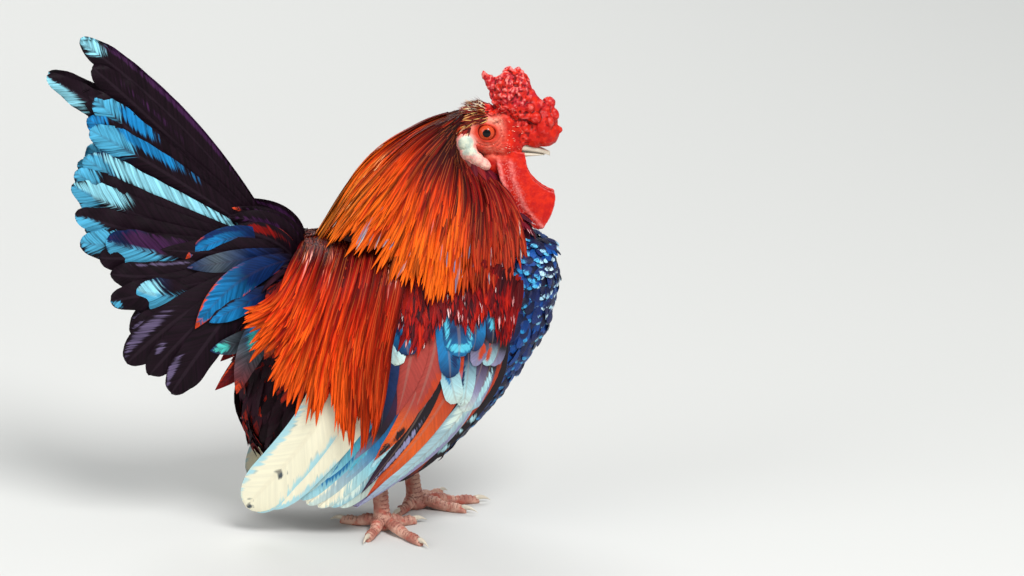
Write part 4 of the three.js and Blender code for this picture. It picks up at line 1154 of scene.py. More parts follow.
def plumage_finish(name, streak, pitch, shaft, shaft_colour, rough, **settings):
    """A feather material with its own streaks, shaft and gloss."""
    material = finish(name, shaft_colour, rough, **settings)
    plume = Dye(material.node_tree)
    looks = {"Streak": streak, "Pitch": pitch, "Shaft": shaft, "Rough": rough}
    vane = plume.node("Group", {"node_tree": VANE_GROUP}, **looks)
    plume.feed(vane.inputs["Shaft Colour"], (*shaft_colour, 1))
    plume.lay(vane.outputs["Color"], vane.outputs["Height"], 0.45, 0.00025)
    plume.feed(plume.tree.nodes["Principled BSDF"].inputs["Roughness"], vane.outputs["Roughness"])
    return material


def scattered(forwards, angles, pitch, seed):
    """Places spread over the torso about a pitch apart, as forward and angle, in staggered rows."""
    vary = np.random.default_rng(seed)
    found = []
    # rows an equal way apart along the back, the keel and the sides, however steep they are
    fine = np.linspace(*forwards, 900)
    lines = [torso_point(fine, np.full(900, angle), 0.0) for angle in (0.0, math.pi / 2, math.pi)]
    steps = np.max([np.linalg.norm(np.diff(line, axis=0), axis=1) for line in lines], axis=0)
    gone = np.concatenate([[0], np.cumsum(steps)])
    for number, way in enumerate(np.arange(0, gone[-1], pitch * 0.8)):
        forward = np.interp(way, gone, fine)
        ring = torso_point(np.full(90, forward), np.linspace(*angles, 90), 0.0)
        length = np.linalg.norm(np.diff(ring, axis=0), axis=1).sum()
        count = max(2, int(length / pitch))
        step = (angles[1] - angles[0]) / count
        for k in range(count):
            angle = angles[0] + (k + 0.5 * (number % 2) + vary.uniform(-0.3, 0.3)) * step
            found.append((np.interp(way + vary.uniform(-0.3, 0.3) * pitch, gone, fine), angle))
    return np.array(found)


def torso_patch(roots):
    """Each root's place on an unwrap of the torso."""
    around = roots[:, 1] / (2 * math.pi) % 1
    return np.stack([around, (roots[:, 0] - TORSO_ENDS[0]) / TORSO_SPAN], axis=-1) * 0.99


def laid_flat(fall, normal):
    """Ways along a skin that follow the fall of its feathers."""
    return unit(fall - normal * (fall * normal).sum(axis=1, keepdims=True))


def over_torso(roots, length, fall, s, lift, vary):
    """Centre lines and ways out of feathers rooted on the torso, lying the way that fall points."""
    forward, angle = roots.T
    forward = np.clip(forward, TORSO_ENDS[0] + 0.5, TORSO_ENDS[1] - 0.4)
    here = torso_point(forward, angle, 0.0)
    behind = torso_point(forward - 0.4, angle, 0.0)
    turned = torso_point(forward, angle + 0.02, 0.0)
    normal = unit(np.cross(turned - here, behind - here))
    normal *= np.sign((normal * (here - [40 + FORWARD, 0, 118])).sum(axis=1, keepdims=True))
    way = laid_flat(fall, normal)
    way = unit(way + vary.normal(0, 0.10, way.shape))
    s = s[None, :, None]
    reach = s * length[:, None, None]
    rise = -ROOT_DEPTH + (ROOT_DEPTH + lift) * np.minimum(1, 1.6 * s) ** 0.8
    line = here[:, None] + way[:, None] * reach + normal[:, None] * (rise - reach**2 / 110)
    out = unit(normal[:, None] + way[:, None] * reach / 55)
    return line, out


def all_over(hue, bright):
    """One colour for each feather, brighter or darker by ring, over its three columns."""
    return hue[:, None, None] * bright[None, :, None, None] * np.ones((1, 1, 3, 1))


def glowing(hue, share):
    """A second colour for each feather, or for all, with its share by ring and column."""
    hue = hue[:, None, None] if hue.ndim == 2 else hue
    return np.concatenate([np.broadcast_to(hue, (*share.shape, 3)), share[..., None]], axis=-1)


def breast_paint(place, front, vary):
    """Blue-black feathers, most of them with a spangle at the tip, paler towards the front."""
    count = len(place)
    s = places_along(VANE_RINGS, VANE_CROWD)
    stops = [(0, tone(14, 12, 40)), (0.4, tone(14, 34, 92)), (1, tone(10, 76, 152))]
    colour = all_over(blend(stops, vary.random(count) ** 1.4), 0.6 + 0.7 * s)
    spangle = np.where(vary.random(count) < 0.66, 1.0, 0.0) * held((front - 0.12) / 0.2)
    whiter = held((place[:, 0] - FORWARD - 138) / 20 + vary.uniform(-0.3, 0.3, count))
    pale = blend([(0, tone(36, 144, 208)), (0.5, tone(86, 186, 228)), (1, tone(206, 236, 248))], whiter)
    share = spangle[:, None, None] * held((s - 0.70) / 0.2)[None, :, None] * FADE_OUT * 1.3
    return colour, glowing(pale, share)


places = places_along(VANE_RINGS, VANE_CROWD)
FLANKS = [(0.17 * math.pi, 0.70 * math.pi), (1.30 * math.pi, 1.83 * math.pi)]
breast_finish = plumage_finish("breast", 0.5, 1.4, 0.15, (0.02, 0.02, 0.06), 0.45, specular_ior_level=0.25)
for name in ("breast_feathers", "flank_feathers"):
    vary = np.random.default_rng(31)
    on_flanks = name == "flank_feathers"
    if on_flanks:
        # over the front edges of the wings
        roots = np.concatenate([scattered((100, 140), angles, FLANK_PITCH, 5) for angles in FLANKS])
    else:
        roots = scattered((30, 161.4), (0, 2 * math.pi), BREAST_PITCH, 3)
    place = torso_point(roots[:, 0], roots[:, 1], 0.0)
    # the cape, the saddle and the wings hide the sides further back, so nothing grows there
    hidden = (place[:, 0] < 100 + FORWARD) & (place[:, 2] > 62)
    hidden |= on_flanks & (place[:, 2] > 172)
    roots = roots[~hidden]
    place = place[~hidden]
    front = held((place[:, 0] - FORWARD - 70) / 90)
    fall = np.stack([-0.35 - 0.9 * (1 - front), np.zeros(len(front)), -1.0 * front - 0.25], axis=1)
    lift = BREAST_LIFT
    length = BREAST_LENGTH[1] + (BREAST_LENGTH[0] - BREAST_LENGTH[1]) * front
    if on_flanks:
        fall = np.array([-1.0, 0, -0.6]) * np.ones_like(fall)
        lift = (2.0 + 7.0 * held((138 + FORWARD - place[:, 0]) / 34))[:, None, None]
        length = length + 5
    length = length * vary.uniform(0.85, 1.15, len(roots))
    line, out = over_torso(roots, length, fall, places, lift, vary)
    half = taper(ROUNDED, places)[None] * BREAST_WIDTH / 2 * vary.uniform(0.85, 1.15, (len(roots), 1))
    paint = breast_paint(place, front, vary)
    turn = vary.normal(0, 0.12, len(roots))
    breast = grow_vanes(name, line, out, half, paint, torso_patch(roots), 32, roll=turn)
    breast.data.materials.append(breast_finish)
    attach(breast, "root")


# ---------------------------------------------------------------------------------------------
# Fluff of the belly, the vent and the thighs: loose soft feathers, nearly black with streaks of dark
# red, longest below the root of the tail.

FLUFF_RINGS = 7
BELLY_PITCH = 5.4
BELLY_LIFT = 2.6
THIGH_FEATHERS = 420
WISP = (0.45, 0.4, 0.4, 1.0)


def fluff_paint(count, vary, red):
    """Near-black feathers, a share of them streaked dark red towards the tip."""
    s = places_along(FLUFF_RINGS)
    dark = blend([(0, tone(20, 6, 12)), (1, tone(44, 14, 28))], vary.random(count))
    hue = blend([(0, tone(92, 12, 10)), (1, tone(176, 40, 16))], vary.random(count))
    share = (vary.random(count) < red)[:, None, None] * np.clip(s - 0.25, 0, 0.5)[None, :, None] * 1.6
    return all_over(dark, np.ones(len(s))), glowing(hue, share * FADE_OUT)


vary = np.random.default_rng(35)
roots = scattered((-43.5, 96), (0.10 * math.pi, 1.90 * math.pi), BELLY_PITCH, 36)
place = torso_point(roots[:, 0], roots[:, 1], 0.0)
hidden = (place[:, 2] > 125) & (place[:, 0] > 0)
roots = roots[~hidden]
place = place[~hidden]
back = held((60 - (place[:, 0] - FORWARD)) / 90)
fall = np.stack([-0.9 + 0.5 * back, np.zeros(len(back)), -0.35 - 0.65 * back], axis=1)
length = (13 + 17 * back) * vary.uniform(0.8, 1.25, len(roots))
places = places_along(FLUFF_RINGS)
line, out = over_torso(roots, length, fall, places, BELLY_LIFT, vary)
half = taper(WISP, places)[None] * vary.uniform(4.5, 7.5, (len(roots), 1)) / 2
paint = fluff_paint(len(roots), vary, 0.45)
roll = vary.normal(0, 0.3, len(roots))
fluff = grow_vanes(
    "belly_fluff", line, out, half, paint, torso_patch(roots), 37, roll=roll, lay=0.4, split=0.10
)
fluff_finish = plumage_finish("fluff", 0.7, 1.0, 0.0, (0.02, 0.01, 0.01), 0.7, specular_ior_level=0.15)
fluff.data.materials.append(fluff_finish)
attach(fluff, "root")

for side, label in SIDES:
    vary = np.random.default_rng(38)
    rows = []
    for centre, radii in THIGH_MASSES:
        spot = unit(vary.normal(0, 1, (THIGH_FEATHERS // len(THIGH_MASSES), 3)))
        spot = spot[spot[:, 2] > -0.55]
        place = np.array(centre) + [HOCK_STEP[side] + FORWARD, 0, 0] + spot * np.array(radii)
        rows.append(np.concatenate([place, unit(spot / np.array(radii))], axis=1))
    rows = np.concatenate(rows)
    rows[:, [1, 4]] *= side
    place, normal = rows[:, :3], rows[:, 3:]
    way = laid_flat(np.array([-0.25, 0, -1.0]) + vary.normal(0, 0.12, place.shape), normal)
    s = places[None, :, None]
    reach = s * vary.uniform(11, 16, (len(place), 1, 1))
    line = place[:, None] + way[:, None] * reach + normal[:, None] * (0.2 + 1.6 * s - reach**2 / 60)
    out = unit(normal[:, None] + way[:, None] * reach / 30)
    half = taper(WISP, places)[None] * vary.uniform(4.0, 6.0, (len(place), 1)) / 2
    paint = fluff_paint(len(place), vary, 0.2)
    around = np.arctan2(normal[:, 1], normal[:, 0]) / (2 * math.pi) % 1 * 0.99
    bake = np.stack([around, place[:, 2] / 200], axis=-1)
    thigh = grow_vanes(f"thigh_fluff_{label}", line, out, half, paint, bake, 39, lay=0.4, split=0.1)
    thigh.data.materials.append(fluff_finish)
    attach(thigh, "root")


# ---------------------------------------------------------------------------------------------
# Wings: held half shut against the flanks, tips low and to the rear. Long stiff quills in rows,
# cream at the rear, brick and orange in the middle, banded pale blue below, with blue and
# white coverts over their roots and dark red pointed feathers on the shoulder.

WING = [
    [[129, 40, 158], [107, 48, 168], [72, 48, 168], [37, 44, 160]],
    [[120, 46, 117], [99, 57, 128], [63, 58, 128], [24, 53, 127]],
    [[93, 43, 76], [69, 54, 78], [37, 56, 79], [3, 52, 84]],
    [[54, 40, 32], [21, 42, 22], [-11, 37, 21], [-39, 28, 22]],
]
WING_HEART = (60, 0, 100)
QUILL_RINGS = 26
QUILL_CROWD = 1.5
QUILL_COLUMNS = 10
INK = tone(22, 8, 18)
PLUM = tone(52, 22, 56)
LILAC = tone(146, 142, 178)
# painted lavender sheen on the lower tail blades and on the tips of some tail coverts
DUSK_SHEEN = tone(88, 76, 104)
NAVY = tone(8, 36, 82)
BLUE = tone(20, 112, 168)
CYAN = tone(80, 184, 210)
ICE = tone(172, 218, 226)
CREAM = tone(246, 240, 212)
PALE = tone(214, 232, 222)
BRICK = tone(164, 60, 52)
RUST = tone(184, 58, 26)
ORANGE = tone(238, 98, 22)
BLOOD = tone(112, 10, 8)
EMBER = tone(168, 28, 6)
SLATE = tone(70, 80, 88)
MIST = tone(164, 196, 204)
# outlines of the vanes, given as that of the breast
QUILL = (0.45, 0.4, 0.84, 0.5)
PADDLE = (0.40, 0.6, 0.78, 0.5)
SPEAR = (0.40, 0.5, 0.50, 0.9)
LANCE = (0.40, 0.4, 0.35, 1.1)


def rimmed(hue, start=0.45):
    """Patches for a feather whose edges and tip have another colour."""
    reach = 1.02 - start
    return ((hue, 1.0, 0.09, 0.0, 2.0), (hue, 1.0, reach, 1.0, 0.2), (hue, 1.0, reach, -1.0, 0.2))


# root, middle and tip as shares (across, along) of the wing; width; rise at root and tip; base colours
# from root to tip; patches of (colour, place along, half length, place across, half width)
WING_QUILLS = [
    ((-0.02, 0.20), (-0.08, 0.58), (-0.01, 0.93), 11, 0.0, 0.2, (INK,),
     ((ICE, 0.55, 0.03, -0.6, 0.4), (ICE, 0.66, 0.02, -0.5, 0.4), (ICE, 0.78, 0.03, -0.6, 0.4))),
    ((0.02, 0.20), (-0.03, 0.60), (0.03, 0.95), 12, 0.3, 0.5, (INK, RUST, RUST, RUST, INK), rimmed(INK, 0.8)),
    ((0.10, 0.20), (0.10, 0.60), (0.14, 0.99), 13, 0.4, 0.7,
     (INK, INK, PLUM), ((LILAC, 0.7, 0.2, 0.7, 0.3),)),
    ((0.18, 0.20), (0.20, 0.60), (0.22, 1.02), 14, 0.5, 0.9,
     (INK, PLUM, INK, PLUM), ((LILAC, 0.9, 0.2, -0.4, 0.4),)),
    ((0.26, 0.20), (0.28, 0.60), (0.31, 1.01), 15, 0.7, 1.1,
     (INK, INK, INK, PALE), ((LILAC, 0.86, 0.1, 0.4, 0.5),)),
    ((0.34, 0.20), (0.36, 0.60), (0.39, 1.00), 15, 0.9, 1.3,
     (INK, INK, NAVY, ICE), ((PALE, 0.92, 0.10, 0.2, 0.9),)),
    ((0.42, 0.20), (0.44, 0.60), (0.47, 1.00), 16, 1.1, 1.5,
     (INK, INK, CYAN, PALE), ((CREAM, 0.95, 0.10, 0.0, 0.9),)),
    ((0.50, 0.18), (0.52, 0.60), (0.56, 0.99), 16, 1.3, 1.7,
     (INK, NAVY, BLUE, PALE), ((CREAM, 0.93, 0.10, 0.3, 0.7),)),
    ((0.58, 0.18), (0.60, 0.60), (0.64, 0.97), 16, 1.5, 1.9,
     (INK, NAVY, CYAN, ICE), ((BLUE, 0.80, 0.1, -0.2, 0.6),)),
    ((0.66, 0.16), (0.68, 0.60), (0.72, 0.96), 16, 1.7, 2.1,
     (NAVY, NAVY, CYAN, PALE), ((BLUE, 0.72, 0.1, 0.2, 0.6),)),
]
WING_BARS = [
    ((0.56, 0.35), (0.47, 0.62), (0.38, 0.90), 14, 1.9, 2.4,
     (INK, NAVY, BLUE, ICE), ((ICE, 0.72, 0.2, -0.5, 0.5),)),
    ((0.64, 0.38), (0.56, 0.64), (0.48, 0.93), 15, 2.1, 2.6,
     (INK, NAVY, BLUE, ICE), ((CYAN, 0.75, 0.2, 0.4, 0.6),)),
    ((0.74, 0.40), (0.68, 0.66), (0.58, 0.92), 16, 2.3, 2.8,
     (NAVY, BLUE, CYAN, ICE), ((BLUE, 0.85, 0.1, 0.3, 0.6),)),
    ((0.86, 0.42), (0.78, 0.66), (0.69, 0.91), 15, 2.5, 3.0,
     (NAVY, BLUE, CYAN, ICE), ((NAVY, 0.7, 0.12, -0.3, 0.6),)),
    ((0.30, 0.30), (0.265, 0.64), (0.19, 0.98), 19, 2.2, 2.4,
     (RUST, RUST, ORANGE, RUST), ((INK, 0.72, 0.1, 0.7, 0.3),)),
    ((0.42, 0.36), (0.365, 0.66), (0.27, 0.95), 12, 2.6, 2.8, (INK, INK, INK, PLUM),
     ((LILAC, 0.68, 0.22, -0.6, 0.35), (LILAC, 0.25, 0.1, 0.3, 0.5))),
    ((0.66, 0.42), (0.60, 0.62), (0.55, 0.80), 15, 2.9, 3.2,
     (INK, PLUM, INK, LILAC), ((PLUM, 0.6, 0.2, 0.5, 0.4),)),
    ((0.52, 0.42), (0.46, 0.62), (0.42, 0.80), 13, 3.0, 3.3, (BRICK, BRICK, ORANGE, RUST),
     ((INK, 0.66, 0.1, -0.6, 0.5), (INK, 0.86, 0.08, -0.2, 0.8))),
    ((0.52, 0.20), (0.48, 0.43), (0.41, 0.64), 19, 3.1, 3.5,
     (BRICK, BRICK, BRICK, RUST), ((RUST, 0.7, 0.3, -0.8, 0.4),)),
    ((0.64, 0.16), (0.61, 0.38), (0.52, 0.61), 21, 3.4, 3.9, (BRICK,), ((BLOOD, 0.9, 0.2, 1.0, 0.1),)),
    ((0.80, 0.20), (0.72, 0.44), (0.56, 0.66), 20, 3.8, 4.2,
     (NAVY, NAVY, NAVY, INK), ((BLUE, 0.55, 0.3, 0.3, 0.5),)),
    ((0.90, 0.22), (0.84, 0.44), (0.72, 0.64), 14, 4.1, 4.6,
     (NAVY, BLUE, NAVY, INK), ((CYAN, 0.5, 0.1, 0.3, 0.3),)),
    ((0.10, 0.38), (0.04, 0.74), (0.20, 1.03), 14, 2.9, 3.1, (PALE, MIST, MIST, MIST, LILAC),
     ((LILAC, 0.6, 0.4, -0.8, 0.25), (PALE, 0.2, 0.2, 0.3, 0.6))),
]
WING_CREAM = [
    ((0.80, 0.18), (0.78, 0.62), (0.81, 1.01), 24, 3.0, 3.4, (CREAM,), ((ICE, 0.9, 0.2, -1.0, 0.3),)),
    ((0.88, 0.18), (0.86, 0.62), (0.88, 1.03), 24, 3.4, 3.8, (CREAM,), ((ICE, 0.9, 0.2, -1.0, 0.3),)),
    ((1.02, 0.20), (0.94, 0.64), (0.955, 1.02), 30, 4.0, 4.4, (CREAM,),
     ((ICE, 0.72, 0.25, 1.0, 0.3), (ICE, 0.7, 0.2, -1.0, 0.2), (SLATE, 0.80, 0.015, -0.1, 0.13),
      (SLATE, 0.965, 0.008, 0.1, 0.1), (SLATE, 0.62, 0.008, 0.4, 0.1), (SLATE, 0.985, 0.01, -0.2, 0.3))),
]
WING_COVERTS = [
    ((0.10, 0.20), (0.04, 0.42), (0.00, 0.57), 12, 3.0, 3.4,
     (NAVY, INK, LILAC, ICE), ((ICE, 0.6, 0.25, -0.4, 0.4),)),
    ((0.20, 0.20), (0.12, 0.42), (0.03, 0.58), 12, 3.3, 3.8,
     (NAVY, PLUM, LILAC, PALE), ((INK, 0.6, 0.2, 0.5, 0.3),)),
    ((0.36, 0.22), (0.23, 0.41), (0.08, 0.55), 12, 3.6, 4.1,
     (NAVY, NAVY, ICE, PALE), ((NAVY, 0.6, 0.3, 0.6, 0.3),)),
    ((0.40, 0.22), (0.35, 0.36), (0.27, 0.48), 9, 3.9, 4.3,
     (INK, RUST, RUST, LILAC), ((INK, 0.6, 0.2, 0.5, 0.3),)),
    ((0.50, 0.24), (0.36, 0.42), (0.17, 0.54), 13, 4.1, 4.6,
     (NAVY, NAVY, ICE, PALE), ((BLUE, 0.5, 0.2, 0.2, 0.3),)),
    ((0.10, 0.06), (0.06, 0.20), (0.05, 0.34), 12, 4.0, 4.6,
     (NAVY, PLUM, INK, LILAC), ((RUST, 0.7, 0.15, 0.4, 0.3),)),
    ((0.19, 0.06), (0.15, 0.20), (0.11, 0.35), 12, 4.3, 4.9,
     (NAVY, INK, PLUM, ICE), ((RUST, 0.8, 0.15, 0.2, 0.3),)),
    ((0.28, 0.06), (0.25, 0.20), (0.21, 0.37), 12, 4.6, 5.1,
     (NAVY, NAVY, INK, LILAC), ((RUST, 0.8, 0.12, -0.3, 0.4),)),
    ((0.20, 0.02), (0.17, 0.13), (0.14, 0.25), 12, 5.0, 5.6,
     (NAVY, BLUE, NAVY, INK), ((CYAN, 0.6, 0.2, 0, 0.5),)),
    ((0.52, 0.12), (0.45, 0.28), (0.34, 0.44), 14, 4.8, 5.3,
     (NAVY, BLUE, BLUE, NAVY), ((NAVY, 0.6, 0.3, -0.5, 0.4),)),
    ((0.34, 0.04), (0.31, 0.17), (0.28, 0.31), 14, 5.2, 5.8,
     (NAVY, NAVY, BLUE, NAVY), ((PLUM, 0.6, 0.2, 0.2, 0.5),)),
    ((0.46, 0.02), (0.42, 0.17), (0.355, 0.345), 20, 5.6, 6.3, (NAVY, BLUE, NAVY, BLUE),
     ((CYAN, 0.90, 0.05, 0, 0.9), (CYAN, 0.62, 0.3, 0.72, 0.14), (CYAN, 0.62, 0.3, -0.72, 0.14))),
    ((0.84, 0.12), (0.76, 0.27), (0.66, 0.385), 13, 4.9, 5.4,
     (NAVY, NAVY, ICE, PALE), ((NAVY, 0.5, 0.3, 0.5, 0.3),)),
    ((0.76, 0.02), (0.715, 0.18), (0.635, 0.34), 18, 5.6, 6.3, (NAVY, BLUE, BLUE, NAVY),
     ((NAVY, 0.5, 0.4, 0.4, 0.25), (CYAN, 0.66, 0.16, -0.2, 0.3))),
]


def away(normal, place, heart, side):
    """Normals turned to point out from a place inside the body."""
    inner = np.array([heart[0] + FORWARD, heart[1] * side, heart[2]])
    facing = (normal * (place - inner)).sum(axis=-1, keepdims=True)
    return normal * np.where(facing < 0, -1.0, 1.0)


def arcs(marks, s):
    """Smooth lines through three marks each, (count, 3, n), at shares of their way."""
    weights = np.stack([2 * (s - 0.5) * (s - 1), -4 * s * (s - 1), 2 * s * (s - 0.5)])
    return np.einsum("kr,nkc->nrc", weights, marks)


def on_sheet(rows, marks, s, side, heart, rise):
    """Centre lines and ways out of feathers on a sheet, from the marks (count, 3, 2) of each feather."""
    across, along = np.moveaxis(arcs(marks, s), -1, 0)
    place = sheet_point(rows, across, along, side)
    step = 0.004
    over = sheet_point(rows, across + step, along, side) - sheet_point(rows, across - step, along, side)
    down = sheet_point(rows, across, along + step, side) - sheet_point(rows, across, along - step, side)
    normal = away(unit(np.cross(over, down)), place, heart, side)
    return place + normal * rise[..., None], normal


def painted(feathers, places):
    """Colour and glow of feathers given as lists of base colours and of patches."""
    s, w = np.meshgrid(places, np.linspace(-1, 1, QUILL_COLUMNS + 1), indexing="ij")
    colour, glow = [], []
    for base, patches in feathers:
        marks = np.linspace(0, 1, len(base))
        colour.append(blend(list(zip(marks, base)), s))
        layer = np.zeros((*s.shape, 4))
        for hue, centre, length, beside, width in patches:
            value = held(1.4 - np.hypot((s - centre) / length, (w - beside) / width))
            layer = np.where((value > layer[..., 3])[..., None], np.append(hue, 0), layer)
            layer[..., 3] = np.maximum(value, layer[..., 3])
        glow.append(layer)
    return np.array(colour), np.array(glow)


def sheet_feathers(name, rows, table, side, heart, shape, seed, roll, split):
    """One piece of large feathers from a table of marks on a sheet."""
    marks = np.array([row[:3] for row in table], float)
    width, low, high = (np.array([row[k] for row in table], float) for k in (3, 4, 5))
    s = places_along(QUILL_RINGS, QUILL_CROWD)
    rise = low[:, None] + (high - low)[:, None] * s
    line, out = on_sheet(rows, marks, s, side, heart, rise)
    half = taper(shape, s)[None] * width[:, None] / 2
    paint = painted([row[6:] for row in table], s)
    bake = np.clip(marks[:, 0], 0, 0.99)
    return grow_vanes(
        name, line, out, half, paint, bake, seed, camber=0.13, roll=roll, split=split, hand=-side
    )


def strand_marks(across, root, tip, bend, early):
    """Marks of narrow feathers on a sheet that bend aside, the early share of it half way down."""
    ends = [(across, root), (across + bend * early, (root + tip) / 2), (across + bend, tip)]
    return np.stack([np.stack(end, axis=-1) for end in ends], axis=1)


quill_finish = plumage_finish("quill", 0.3, 0.8, 0.3, (0.30, 0.20, 0.16), 0.45, specular_ior_level=0.3)
cream_finish = plumage_finish("cream_quill", 0.10, 0.5, 0.25, (0.80, 0.72, 0.52), 0.5, specular_ior_level=0.3)
for side, label in SIDES:
    groups = {
        "quills": (WING_QUILLS, QUILL, 41, -0.10, 0.05),
        "bars": (WING_BARS, LANCE, 42, -0.08, 0.06),
        "cream_quills": (WING_CREAM, QUILL, 43, -0.06, 0.015),
        "wing_coverts": (WING_COVERTS, PADDLE, 44, -0.05, 0.10),
    }
    for kind, (table, shape, seed, roll, split) in groups.items():
        piece = sheet_feathers(f"{kind}_{label}", WING, table, side, WING_HEART, shape, seed, roll, split)
        piece.data.materials.append(cream_finish if kind == "cream_quills" else quill_finish)
        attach(piece, "root")
        if kind == "quills":
            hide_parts(f"wing_{label}")

# pointed shoulder feathers, dark red, some of them with a pale drip at the tip
BOW_FEATHERS = 1050
BOW_RINGS = 9
BOW_RISE = 4.6
BOW_TILT = 2.4
ON_SHAFT = np.array([0.0, 1.0, 0.0])
bow_finish = plumage_finish("shoulder", 0.75, 1.2, 0.12, (0.5, 0.1, 0.08), 0.5, specular_ior_level=0.12)
for side, label in SIDES:
    vary = np.random.default_rng(45)
    count = BOW_FEATHERS
    across = vary.uniform(-0.03, 1.03, count)
    # how far down they reach: furthest in the middle, in waves along the wing
    low = 0.08 + 0.16 * hump(across, 0.60, 0.09) + 0.05 * np.sin(across * 21)
    root = -0.16 + (low + 0.08) * np.sqrt(vary.random(count))
    tip = root + vary.uniform(0.13, 0.22, count)
    marks = strand_marks(across, root, tip, vary.normal(-0.02, 0.02, count), 0.5)
    s = places_along(BOW_RINGS)
    rise = BOW_RISE + BOW_TILT * s[None] + vary.uniform(0, 1.8, (count, 1))
    rise = rise + 4 * np.clip(0.1 - root, 0, 0.2)[:, None]
    line, out = on_sheet(WING, marks, s, side, WING_HEART, rise)
    half = taper(LANCE, s)[None] * vary.uniform(3.4, 5.6, (count, 1)) / 2
    reds = [(0, INK), (0.35, tone(92, 6, 12)), (0.8, tone(136, 10, 8)), (1, EMBER)]
    colour = all_over(blend(reds, vary.random(count)), 0.75 + 0.5 * s)
    drip = (vary.random(count) < 0.11)[:, None, None] * np.clip(s - 0.55, 0, 0.3)[None, :, None] * 3.0
    paler = blend([(0, tone(214, 140, 140)), (1, tone(238, 226, 222))], vary.random(count))
    paint = (colour, glowing(paler, drip * ON_SHAFT))
    bake = np.clip(marks[:, 0] * 0.8 + 0.1, 0, 0.99)
    roll = vary.normal(0, 0.15, count)
    bow = grow_vanes(
        f"shoulder_{label}", line, out, half, paint, bake, 46, roll=roll, lay=0.25, hand=-side
    )
    bow.data.materials.append(bow_finish)
    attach(bow, "root")


# ---------------------------------------------------------------------------------------------
# Tail: two fans of long black blades, one each side of the middle. The webs and tips carry a painted
# pale blue sheen where they curl, and blue coverts edged with orange lie over the roots.

TEAL = tone(70, 180, 172)
# painted sheen on the webs and tips of the tail blades
LAKE_SHEEN = tone(70, 152, 186)
FROST_SHEEN = tone(128, 192, 208)
# root, middle and tip in millimetres; width; base colours; patches as on the wing, which here are painted
# sheen
TAIL_BLADES = [
    ((-31, 3, 203), (-84, 3, 267), (-142, 3, 317), 17,
     (INK,), ((PLUM, 0.5, 0.4, 0.9, 0.2), (FROST_SHEEN, 0.97, 0.08, 0.2, 0.84))),
    ((-32, 4, 201), (-90, 4, 259), (-134, 4, 300), 19, (INK,), ((PLUM, 0.6, 0.3, 0.5, 0.1),)),
    ((-33, 5, 199), (-94, 6, 249), (-163, 6, 295), 18, (INK,), ((FROST_SHEEN, 0.93, 0.12, -0.6, 0.56),)),
    ((-34, 6, 198), (-90, 7, 244), (-140, 7, 285), 19, (INK,), ()),
    ((-34, 7, 197), (-91, 8, 243), (-133, 8, 281), 20,
     (INK,), ((LAKE_SHEEN, 0.92, 0.12, 0.1, 1.20), (BLUE, 0.72, 0.14, 0.7, 0.42))),
    ((-34, 8, 196), (-91, 9, 237), (-138, 9, 268), 18, (INK,), ((BLUE, 0.95, 0.08, 0.1, 1.20),)),
    ((-34, 9, 195), (-90, 10, 234), (-136, 10, 261), 21,
     (INK, INK, INK, NAVY), ((LAKE_SHEEN, 0.88, 0.18, 0.1, 1.20), (BLUE, 0.66, 0.27, 0.8, 0.42))),
    ((-35, 11, 191), (-91, 12, 214), (-140, 13, 244), 24,
     (INK, INK, INK, NAVY), ((FROST_SHEEN, 0.56, 0.49, 0.62, 0.59), (LAKE_SHEEN, 0.92, 0.14, -0.2, 1.12))),
    ((-35, 12, 189), (-93, 14, 208), (-146, 14, 234), 20, (INK,), ((LAKE_SHEEN, 0.94, 0.08, 0.1, 1.20),)),
    ((-35, 13, 187), (-94, 15, 202), (-148, 15, 226), 22,
     (INK,), ((FROST_SHEEN, 0.84, 0.16, 0.5, 0.70), (LAKE_SHEEN, 0.93, 0.12, -0.4, 0.70))),
    ((-35, 14, 185), (-92, 17, 193), (-146, 18, 208), 20, (INK,), ((LAKE_SHEEN, 0.9, 0.11, -0.6, 0.56),)),
    ((-35, 15, 184), (-91, 18, 184), (-143, 19, 190), 23, (INK,), ((LAKE_SHEEN, 0.92, 0.12, 0.35, 1.12),)),
    ((-34, 16, 182), (-86, 20, 180), (-131, 21, 180), 20, (INK,), ()),
    ((-33, 17, 180), (-83, 22, 182), (-126, 22, 192), 24,
     (INK, INK, INK, NAVY), ((LAKE_SHEEN, 0.80, 0.27, -0.55, 0.70), (PLUM, 0.6, 0.4, 0.5, 0.5))),
    ((-33, 17, 178), (-80, 24, 170), (-124, 24, 170), 19, (INK,), ((DUSK_SHEEN, 0.6, 0.2, 0.8, 0.1),)),
    ((-32, 18, 176), (-78, 25, 163), (-124, 26, 153), 20, (INK,), ((LAKE_SHEEN, 0.96, 0.04, -0.5, 0.42),)),
    ((-31, 18, 174), (-72, 26, 158), (-107, 27, 161), 22,
     (INK, INK, INK, NAVY), ((LAKE_SHEEN, 0.78, 0.32, -0.5, 0.70), (FROST_SHEEN, 0.90, 0.14, 0.3, 0.70))),
    ((-31, 19, 173), (-74, 28, 148), (-112, 29, 134), 20, (INK,), ((DUSK_SHEEN, 0.9, 0.08, 0.3, 0.2),)),
    ((-30, 20, 172), (-76, 30, 146), (-114, 30, 113), 25, (INK,), ((DUSK_SHEEN, 0.78, 0.2, 0.6, 0.3),)),
    ((-30, 21, 171), (-68, 31, 140), (-100, 31, 105), 20, (INK,), ((DUSK_SHEEN, 0.8, 0.05, 0.6, 0.2),)),
    ((-28, 22, 171), (-58, 32, 134), (-86, 33, 94), 23, (INK,), ((DUSK_SHEEN, 0.86, 0.12, 0.75, 0.2),)),
]
